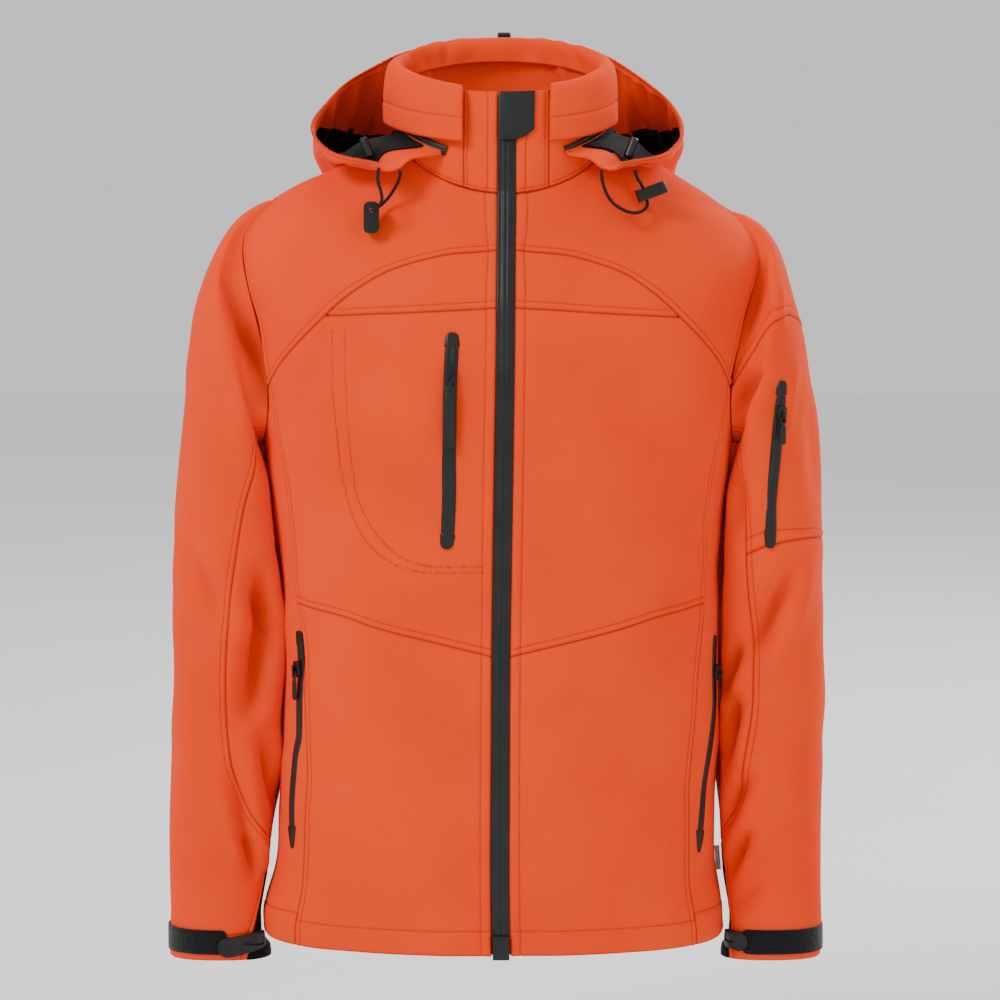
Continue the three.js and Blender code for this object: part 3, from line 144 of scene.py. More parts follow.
def srgb(red, green, blue):
    """Blender's colour for an 8-bit one."""
    def linear(value):
        share = value / 255
        return share / 12.92 if share <= 0.04045 else ((share + 0.055) / 1.055) ** 2.4
    return (linear(red), linear(green), linear(blue), 1)


class Look:
    """A material with short ways to add nodes."""

    def __init__(self, name, **sockets):
        self.material = bpy.data.materials.new(name)
        self.material.use_nodes = True
        self.nodes = self.material.node_tree.nodes
        self.links = self.material.node_tree.links
        self.shader = self.nodes["Principled BSDF"]
        self.place = self.nodes.new("ShaderNodeTexCoord").outputs["Object"]
        for socket, value in sockets.items():
            self.shader.inputs[socket.replace("_", " ")].default_value = value

    def add(self, kind, **settings):
        node = self.nodes.new(kind)
        for key, value in settings.items():
            if key in node.inputs:
                node.inputs[key].default_value = value
            else:
                setattr(node, key, value)
        return node

    def noise(self, scale, detail=2, stretch=None):
        node = self.add("ShaderNodeTexNoise", Scale=scale, Detail=detail)
        self.links.new(self.stretched(stretch), node.inputs["Vector"])
        return node.outputs["Fac"]

    def stretched(self, stretch):
        if stretch is None:
            return self.place
        mapping = self.add("ShaderNodeMapping", Scale=stretch)
        self.links.new(self.place, mapping.inputs["Vector"])
        return mapping.outputs["Vector"]

    def ramp(self, source, low, high, low_place=0.3, high_place=0.7):
        node = self.add("ShaderNodeValToRGB")
        node.color_ramp.elements[0].position = low_place
        node.color_ramp.elements[0].color = low
        node.color_ramp.elements[1].position = high_place
        node.color_ramp.elements[1].color = high
        self.links.new(source, node.inputs["Fac"])
        return node.outputs["Color"]

    def colour(self, source):
        self.links.new(source, self.shader.inputs["Base Color"])

    def roughness(self, source, low, high):
        node = self.add("ShaderNodeMapRange")
        node.inputs["To Min"].default_value = low
        node.inputs["To Max"].default_value = high
        self.links.new(source, node.inputs["Value"])
        self.links.new(node.outputs["Result"], self.shader.inputs["Roughness"])

    def relief(self, *layers):
        """Bump from (height, depth in millimetres) layers, each on the one before."""
        normal = None
        for height, depth in layers:
            node = self.add("ShaderNodeBump", Strength=1, Distance=depth * MM)
            self.links.new(height, node.inputs["Height"])
            if normal is not None:
                self.links.new(normal, node.inputs["Normal"])
            normal = node.outputs["Normal"]
        self.links.new(normal, self.shader.inputs["Normal"])


# Noises as scale and detail, with coordinates in metres. Depths of relief are in millimetres.
CLOTH = {
    "shader": {"Sheen_Roughness": 0.5, "Specular_IOR_Level": 0.08},
    "shade": (9, 4),
    "worn": (60, 3),
    "roughness": (0.68, 0.84),
    "weave": (1500, 1),
    "warp_stretch": (1, 1, 0.35),
    "weft_stretch": (0.35, 0.35, 1),
    "weave_depth": 0.12,
    "slubs": (45, 3),
    "slub_depth": 0.25,
}
COATED = {"shade": (40, 3), "worn": (160, 3), "roughness_range": 0.08, "grain_detail": 2}
PILE = {
    "shader": {"Roughness": 0.95, "Sheen_Weight": 0.3, "Specular_IOR_Level": 0.1},
    "loops": 900,
    "loop_depth": 0.5,
    "fuzz": (350, 4),
    "fuzz_depth": 0.6,
}


def cloth_look(name, low, high, painted_shade_colour, sheen):
    """Fine matt weave: small grains, soft slubs, a slow change of tone, and painted shade: a darker colour
    mixed in at fold troughs, seams and stitches.
    """
    look = Look(name, Sheen_Weight=sheen, **CLOTH["shader"])
    shade = look.noise(*CLOTH["shade"])
    # Painted shade: a point attribute mixes a darker colour into the cloth at fold troughs, seams and
    # stitches
    shade_mask = look.add("ShaderNodeAttribute", attribute_name=PAINTED_SHADE)
    mix = look.add("ShaderNodeMixRGB")
    look.links.new(shade_mask.outputs["Fac"], mix.inputs["Fac"])
    look.links.new(look.ramp(shade, low, high), mix.inputs["Color1"])
    mix.inputs["Color2"].default_value = painted_shade_colour
    look.colour(mix.outputs["Color"])
    look.roughness(look.noise(*CLOTH["worn"]), *CLOTH["roughness"])
    warp = look.noise(*CLOTH["weave"], CLOTH["warp_stretch"])
    weft = look.noise(*CLOTH["weave"], CLOTH["weft_stretch"])
    slubs = look.noise(*CLOTH["slubs"])
    look.relief((slubs, CLOTH["slub_depth"]), (warp, CLOTH["weave_depth"]), (weft, CLOTH["weave_depth"]))
    return look.material


def smooth_look(name, low, high, roughness, grain, depth, specular=0.35):
    """Moulded or coated finish with a fine grain."""
    look = Look(name, Specular_IOR_Level=specular)
    look.colour(look.ramp(look.noise(*COATED["shade"]), low, high))
    spread = COATED["roughness_range"]
    look.roughness(look.noise(*COATED["worn"]), roughness - spread, roughness + spread)
    look.relief((look.noise(grain, COATED["grain_detail"]), depth))
    return look.material


def pile_look(name, low, high):
    """Short fuzzy loops."""
    look = Look(name, **PILE["shader"])
    loops = look.add("ShaderNodeTexVoronoi", Scale=PILE["loops"])
    look.links.new(look.place, loops.inputs["Vector"])
    look.colour(look.ramp(loops.outputs["Distance"], high, low))
    fuzz = look.noise(*PILE["fuzz"])
    look.relief((fuzz, PILE["fuzz_depth"]), (loops.outputs["Distance"], PILE["loop_depth"]))
    return look.material


def make_looks():
    black = srgb(15, 17, 16)
    soft_black = srgb(24, 27, 26)
    return {
        # Each cloth's third colour is its painted shade colour, for fold troughs, seams and stitches
        "softshell": cloth_look("softshell", srgb(236, 60, 8), srgb(246, 70, 12), srgb(178, 32, 2), 0.02),
        "stretch_black": cloth_look("stretch_black", srgb(12, 14, 13), srgb(18, 21, 20), srgb(4, 5, 5), 0.05),
        "lining": cloth_look("lining", srgb(12, 14, 14), srgb(18, 20, 20), srgb(5, 5, 5), 0.05),
        # The thread is darker than the cloth: painted shade of the stitch holes, over the thread's own orange
        "thread": smooth_look("thread", srgb(176, 34, 4), srgb(214, 52, 10), 0.7, 2500, 0.1, 0.2),
        "hook_band": pile_look("hook_band", srgb(5, 6, 6), srgb(15, 17, 17)),
        "zip_black": smooth_look("zip_black", black, soft_black, 0.42, 1400, 0.05),
        "moulded_rubber": smooth_look("moulded_rubber", black, soft_black, 0.5, 700, 0.06),
        "hardware_black": smooth_look("hardware_black", srgb(13, 14, 14), soft_black, 0.34, 1100, 0.04),
        "cord_black": smooth_look("cord_black", srgb(9, 10, 10), black, 0.75, 1800, 0.25),
        "label": smooth_look("label", srgb(226, 226, 222), srgb(240, 240, 236), 0.8, 1500, 0.1),
    }


# Meshes


def mesh_object(name, points, faces, look, painted_shade=None):
    """A mesh from points in millimetres and lists of faces that all have as many corners."""
    mesh = bpy.data.meshes.new(name)
    mesh.vertices.add(len(points))
    mesh.vertices.foreach_set("co", np.asarray(points * MM, np.float32).ravel())
    mesh.loops.add(faces.size)
    mesh.loops.foreach_set("vertex_index", faces.astype(np.int32).ravel())
    mesh.polygons.add(len(faces))
    starts = np.arange(len(faces), dtype=np.int32) * faces.shape[1]
    mesh.polygons.foreach_set("loop_start", starts)
    mesh.polygons.foreach_set("use_smooth", np.ones(len(faces), bool))
    mesh.update(calc_edges=True)
    mesh.validate()
    mesh.materials.append(look)
    # Painted shade, kept as a point attribute for the cloth's material
    if painted_shade is not None:
        values = mesh.attributes.new(PAINTED_SHADE, "FLOAT", "POINT")
        values.data.foreach_set("value", np.asarray(painted_shade, np.float32))
    return add_object(name, mesh)


def shell_faces(columns, rows, outward):
    """Quads of a closed shell: the outer grid, then the inner one, then the four rims."""
    outer = np.arange(columns * rows).reshape(columns, rows)
    inner = outer + columns * rows
    outer_faces = np.stack([outer[:-1, :-1], outer[1:, :-1], outer[1:, 1:], outer[:-1, 1:]], -1)
    inner_faces = np.stack([inner[:-1, :-1], inner[:-1, 1:], inner[1:, 1:], inner[1:, :-1]], -1)
    rims = []
    for out, back, flip in ((outer[:, 0], inner[:, 0], False), (outer[:, -1], inner[:, -1], True),
                            (outer[0], inner[0], True), (outer[-1], inner[-1], False)):
        rim = np.stack([out[:-1], back[:-1], back[1:], out[1:]], -1)
        rims.append(rim[:, ::-1] if flip else rim)
    faces = np.concatenate([outer_faces.reshape(-1, 4), inner_faces.reshape(-1, 4), *rims])
    return faces if outward > 0 else faces[:, ::-1]


def unit(vectors):
    return vectors / np.maximum(np.linalg.norm(vectors, axis=-1, keepdims=True), 1e-9)


def grid_normals(points, sign):
    return unit(np.cross(np.gradient(points, axis=0), np.gradient(points, axis=1))) * sign


# Rings round the neck's axis, with the solids' own sizes. u runs from 0 at the front, 0.25 at
# the wearer's left side to 0.5 at the back, negative on the other side. v runs from 0 to 1.
RING = ("z_side", "z_front", "z_back", "left", "right", "front", "back", "power", "lean", "tilt")
TORSO_RINGS = [
    (-755, -753, -765, 229, 212, 132, 128, 2.4, -1.8, 0),
    (-731, -730, -740, 229, 211, 133, 128, 2.4, -2.2, 0),
    (-690, -690, -695, 219, 204, 134, 126, 2.4, -2.8, 0),
    (-630, -630, -633, 214.5, 203, 135, 122, 2.4, -2.9, 0),
    (-558, -558, -560, 209, 205.5, 135, 116, 2.4, -2.6, 0),
    (-470, -470, -470, 208.5, 205, 135, 112, 2.4, -2, 0),
    (-390, -392, -385, 213, 206, 138, 114, 2.5, -1, 0),
    (-318, -325, -305, 221, 211, 141, 120, 2.7, 0, 0),
    (-240, -262, -225, 231, 222, 141, 124, 2.8, 1, 0),
    (-160, -200, -150, 241, 232, 133, 122, 2.6, 2, 2),
    (-92, -150, -95, 247, 241, 119, 114, 2.3, 2.4, 5),
    (-60, -122, -62, 212, 210, 108, 104, 2.2, 2.6, 6),
    (-33, -96, -36, 165, 165, 100, 96, 2.1, 2.8, 3),
    (-13, -72, -13, 124, 124, 92, 86, 2.05, 3, 1),
    (0, -50, 8, 97, 97, 84, 72, 2.0, 3, 0),
]
COLLAR_STAND_RINGS = [
    (0, -50, 8, 97, 97, 84, 72, 2.0, 3, 0),
    (22, -18, 34, 99, 98, 80, 70, 2.0, 3.2, 0),
    (45, 14, 60, 100, 97, 73, 67, 2.05, 3.6, 0),
    (66, 43, 88, 100, 96, 66, 62, 2.1, 4, 0),
]
COLLAR_FLAP_RINGS = [
    (14, -4, 28, 111, 107, 88, 80, 2.0, 3.4, 0),
    (40, 22, 60, 112, 107, 83, 77, 2.05, 3.6, 0),
    (60, 38, 81, 110, 105, 77, 71, 2.1, 3.8, 0),
    (71, 47, 94, 106, 101, 71, 66, 2.1, 4, 0),
    (73, 49, 96, 101, 96, 66, 61, 2.1, 4, 0),
    (66, 42, 89, 96, 91, 61, 56.5, 2.1, 4, 0),
    (50, 25, 72, 95, 90.5, 60.5, 56, 2.1, 4, 0),
]
ARC_STEPS = 32
QUARTER = 0.25
RISE_POWER = 1.3


def quarter_at(half, depth, power, angle):
    radius = ((np.sin(angle) / half) ** power + (np.cos(angle) / depth) ** power) ** (-1 / power)
    return radius * np.sin(angle), radius * np.cos(angle)


def quarter_lengths(half, depth, power):
    """Lengths from the front to each step of a quarter of a rounded ring."""
    angles = np.linspace(0, math.pi / 2, ARC_STEPS + 1)
    x, y = quarter_at(half[:, None], depth[:, None], power[:, None], angles)
    steps = np.hypot(np.diff(x), np.diff(y))
    return np.concatenate([np.zeros((len(half), 1)), np.cumsum(steps, axis=1)], axis=1)


def on_quarter(half, depth, power, share):
    flat = [np.ravel(values) for values in np.broadcast_arrays(half, depth, power, share)]
    lengths = quarter_lengths(*flat[:3])
    target = np.clip(flat[3], 0, 1) * lengths[:, -1]
    index = (lengths[:, 1:-1] < target[:, None]).sum(1)
    each = np.arange(len(target))
    before = lengths[each, index]
    inside = (target - before) / (lengths[each, index + 1] - before)
    x, y = quarter_at(*flat[:3], (index + inside) * math.pi / 2 / ARC_STEPS)
    return x.reshape(np.shape(share)), y.reshape(np.shape(share))


class Loft:
    """A surface through rings. Its normal is across u times across v."""
    sign = 1

    def __init__(self, group, rows):
        self.group = group
        self.rows = np.array(rows, float)
        ring = named(RING, self.rows)
        side = np.hypot(np.diff(ring["z_side"]), np.diff(ring["left"] + ring["right"]) / 2)
        front = np.hypot(np.diff(ring["z_front"]), np.diff(ring["front"]))
        knots = np.concatenate([[0], np.cumsum((side + front) / 2)])
        self.length = knots[-1]
        self.shares = knots / self.length

    def ring(self, v):
        return named(RING, spline(self.shares, self.rows, v))

    def point(self, u_any, v):
        u = np.where(u_any > 0.5, u_any - 1, u_any)
        ring = self.ring(v)
        turn = np.abs(u)
        is_front = turn <= QUARTER
        half = np.where(u < 0, ring["left"], ring["right"])
        depth = np.where(is_front, ring["front"], ring["back"])
        share = np.where(is_front, turn, 2 * QUARTER - turn) / QUARTER
        x, y = on_quarter(half, depth, ring["power"], share)
        weight = np.maximum(0, y / depth) ** RISE_POWER
        z_end = np.where(is_front, ring["z_front"], ring["z_back"])
        side = np.where(u < 0, -1, 1)
        return np.stack([
            side * x + np.where(is_front, ring["lean"] * weight, 0),
            np.where(is_front, -y, y),
            ring["z_side"] + (z_end - ring["z_side"]) * weight - np.sign(u) * ring["tilt"] * (1 - weight),
        ], -1)

    def half_zip(self, v, width):
        ring = self.ring(np.ravel(v))
        lengths = quarter_lengths(ring["right"], ring["front"], ring["power"])[:, -1]
        return np.reshape(QUARTER * width / lengths, np.shape(v))


torso = Loft("torso", TORSO_RINGS)
collar_stand = Loft("collar", COLLAR_STAND_RINGS)
collar_flap = Loft("collar", COLLAR_FLAP_RINGS)
ROUND_LENGTH = 1160

# The armhole is an egg round the side line, narrow at the shoulder. turn is 0 at its top,
# 0.25 in front, 0.5 under the arm and 0.75 behind.
ARMHOLE = {"middle": 0.7285, "half": 0.1335, "width": 0.053, "egg": 0.6}


def armhole_place(turn):
    angle = 2 * math.pi * np.asarray(turn, float)
    wide = ARMHOLE["width"] * np.sin(angle) * (1 - ARMHOLE["egg"] * np.cos(angle))
    return np.stack([QUARTER - wide, ARMHOLE["middle"] + ARMHOLE["half"] * np.cos(angle)], -1)


# Sleeves: rings from the armhole, ring 0, to the cuff
SLEEVE_COLUMNS = ("outer_z", "outer_right", "outer_left", "inner_z", "inner_right", "inner_left",
                  "front", "back", "middle_y")
SLEEVE_RINGS = np.array([
    (-73, 247, 243, -287, 228, 222, 70, 70, 0),
    (-96, 268, 256, -300, 222, 216, 82, 84, 0),
    (-140, 285, 271, -318, 214, 208, 84, 86, 0),
    (-205, 297, 286, -345, 205, 200, 80, 84, 0),
    (-275, 304.5, 297, -385, 200, 196, 75, 80, 2),
    (-350, 311, 303, -435, 198, 194, 70, 76, 5),
    (-430, 314.5, 305, -490, 198, 194, 66, 72, 8),
    (-510, 316, 306.5, -550, 200, 194, 62, 66, 8),
    (-590, 318, 306, -615, 206, 198, 56, 58, 3),
    (-660, 318.5, 304.5, -672, 216, 204, 47, 48, -4),
    (-725, 319, 303.5, -728, 222, 208, 38, 38, -10),
    (-778, 319, 304, -778, 222, 209, 31, 31, -14),
], float)
SLEEVE_ROUND = 2.3
SLEEVE_START = {"outward": 18, "down": 3, "rings": 1.7}
CUFF_RING = len(SLEEVE_RINGS) - 1
GUSSET_RING = 9
HEM_SIDE_Z = -755
HEM_FADE = {"none": 16, "full": 4}
BODY_RINGS = 11
WIDEST_SHARE = 0.999


def body_half_width(side, y, z):
    rows = torso.rows[:BODY_RINGS]
    ring = named(RING, spline(rows[:, 0], rows, np.maximum(z, HEM_SIDE_Z)))
    half = ring["left"] if side < 0 else ring["right"]
    share = np.minimum(WIDEST_SHARE, np.abs(y) / np.where(y < 0, ring["front"], ring["back"]))
    return half * (1 - share ** ring["power"]) ** (1 / ring["power"])


class Sleeve:
    """turn is 0 outside, 0.25 in front, 0.5 inside and 0.75 behind."""

    def __init__(self, side):
        self.side = side
        self.sign = -side
        self.name = "right" if side < 0 else "left"
        self.group = f"sleeve_{self.name}"

    def point(self, ring, turn):
        row = named(SLEEVE_COLUMNS, spline(np.arange(CUFF_RING + 1), SLEEVE_RINGS, ring))
        outer_x = self.side * row[f"outer_{self.name}"]
        inner_x = self.side * row[f"inner_{self.name}"]
        cos = np.cos(2 * math.pi * turn)
        sin = np.sin(2 * math.pi * turn)
        radius = (np.abs(cos) ** SLEEVE_ROUND + np.abs(sin) ** SLEEVE_ROUND) ** (-1 / SLEEVE_ROUND)
        x = (outer_x + inner_x) / 2 + (outer_x - inner_x) / 2 * radius * cos
        z = (row["outer_z"] + row["inner_z"]) / 2 + (row["outer_z"] - row["inner_z"]) / 2 * radius * cos
        y = row["middle_y"] - radius * sin * np.where(sin > 0, row["front"], row["back"])
        fade = smooth(HEM_SIDE_Z - HEM_FADE["none"], HEM_SIDE_Z - HEM_FADE["full"], z)
        short = body_half_width(self.side, y, z) + BODY_CLEARANCE - self.side * x
        x = x + self.side * fade * (short + np.hypot(short, CREASE_RADIUS)) / 2
        hole = armhole_place(turn)
        start = torso.point(self.side * hole[..., 0], hole[..., 1])
        start = start + np.stack([self.side * SLEEVE_START["outward"] * ring, 0 * ring,
                                  -SLEEVE_START["down"] * ring], -1)
        share = smooth(0, SLEEVE_START["rings"], ring)[..., None]
        return start + (np.stack([x, y, z], -1) - start) * share


sleeves = {"right": Sleeve(-1), "left": Sleeve(1)}

# Hood, hanging down behind the collar as a bag that is open upwards
HOOD_ZIP = {"end": 0.1, "height": 0.32, "width": 9, "lift": 1, "thickness": 1.2}
HOOD_EDGE_GAP = 1.55
HOOD_EDGE_OUT = HOOD_ZIP["lift"] + HOOD_ZIP["thickness"] + HOOD_EDGE_GAP
HOOD_PASS = {"below": 9, "least": 3, "out": 0.2}
HOOD_SHARES = (0, 0.22, 0.42, 0.6, 0.75, 0.88, 1)
HOOD_POINTS = np.array([
    [(0, 114, -50), (0, 146, -168), (0, 186, -70), (0, 146, 95)],
    [(75, 106, -48), (85, 140, -150), (110, 172, -62), (92, 132, 84)],
    [(120, 76, -20), (146, 112, -88), (168, 128, -34), (140, 96, 60)],
    [(130, 34, -7), (158, 52, -34), (182, 54, -10), (168, 48, 36)],
    [(127, -6, -5), (150, -8, -18), (172, -8, -10), (181, -6, 12)],
    [(116, -44, -11), (136, -52, -29), (156, -52, -24), (166, -46, -10)],
    [(82, -83, -17), (96, -90, -27), (108, -92, -29), (115, -90, -23)],
], float)
HOOD_NARROW = {"right": 1, "left": 0.935}
SECTION_KNOTS = np.array([0, 0.08, 0.22, 0.5, 0.75, 1])
HOOD_ROWS = 11


NORMAL_STEP = 0.004


def normal_at(surface, a, b):
    along_a = surface.point(a + NORMAL_STEP, b) - surface.point(a - NORMAL_STEP, b)
    along_b = surface.point(a, b + NORMAL_STEP) - surface.point(a, b - NORMAL_STEP)
    return unit(np.cross(along_a, along_b)) * surface.sign


def section_curve(sections, across):
    """Smooth curve through each place's own section of points, at its own share across."""
    knots = SECTION_KNOTS
    low, high = neighbours(knots)
    slope = (sections[:, high] - sections[:, low]) / (knots[high] - knots[low])[None, :, None]
    index = np.searchsorted(knots[1:-1], across, side="left")
    after = index + 1
    step = (knots[after] - knots[index])[:, None]
    s = (across - knots[index])[:, None] / step
    each = np.arange(len(across))
    return between_knots(s, step, sections[each, index], sections[each, after],
                         slope[each, index], slope[each, after])


class Hood:
    """along is -1 at the right end, 0 behind and 1 at the left end; across is 0 at the zip, 1 at the rim."""
    sign = -1
    group = "hood"

    def point(self, along, across):
        shape = np.shape(along)
        along = np.ravel(along)
        across = np.ravel(across)
        share = np.abs(along)
        u = 0.5 - share * (0.5 - HOOD_ZIP["end"])
        height = np.full_like(u, HOOD_ZIP["height"])
        normal = normal_at(collar_stand, u, height)
        attach = collar_stand.point(u, height) + normal * HOOD_EDGE_OUT
        passing = attach + normal * HOOD_PASS["out"]
        below_flap = collar_flap.point(u, np.zeros_like(u))[:, 2] - HOOD_PASS["below"]
        passing[:, 2] = np.minimum(attach[:, 2] - HOOD_PASS["least"], below_flap)
        corners = spline(HOOD_SHARES, HOOD_POINTS.reshape(len(HOOD_SHARES), -1), share).reshape(-1, 4, 3)
        corners[:, :, 0] *= np.where(along < 0, HOOD_NARROW["right"], HOOD_NARROW["left"])[:, None]
        sections = np.concatenate([attach[:, None], passing[:, None], corners], axis=1)
        points = section_curve(sections, across)
        points[:, 0] *= np.where(along < 0, -1, 1)
        return points.reshape(*shape, 3)


hood = Hood()


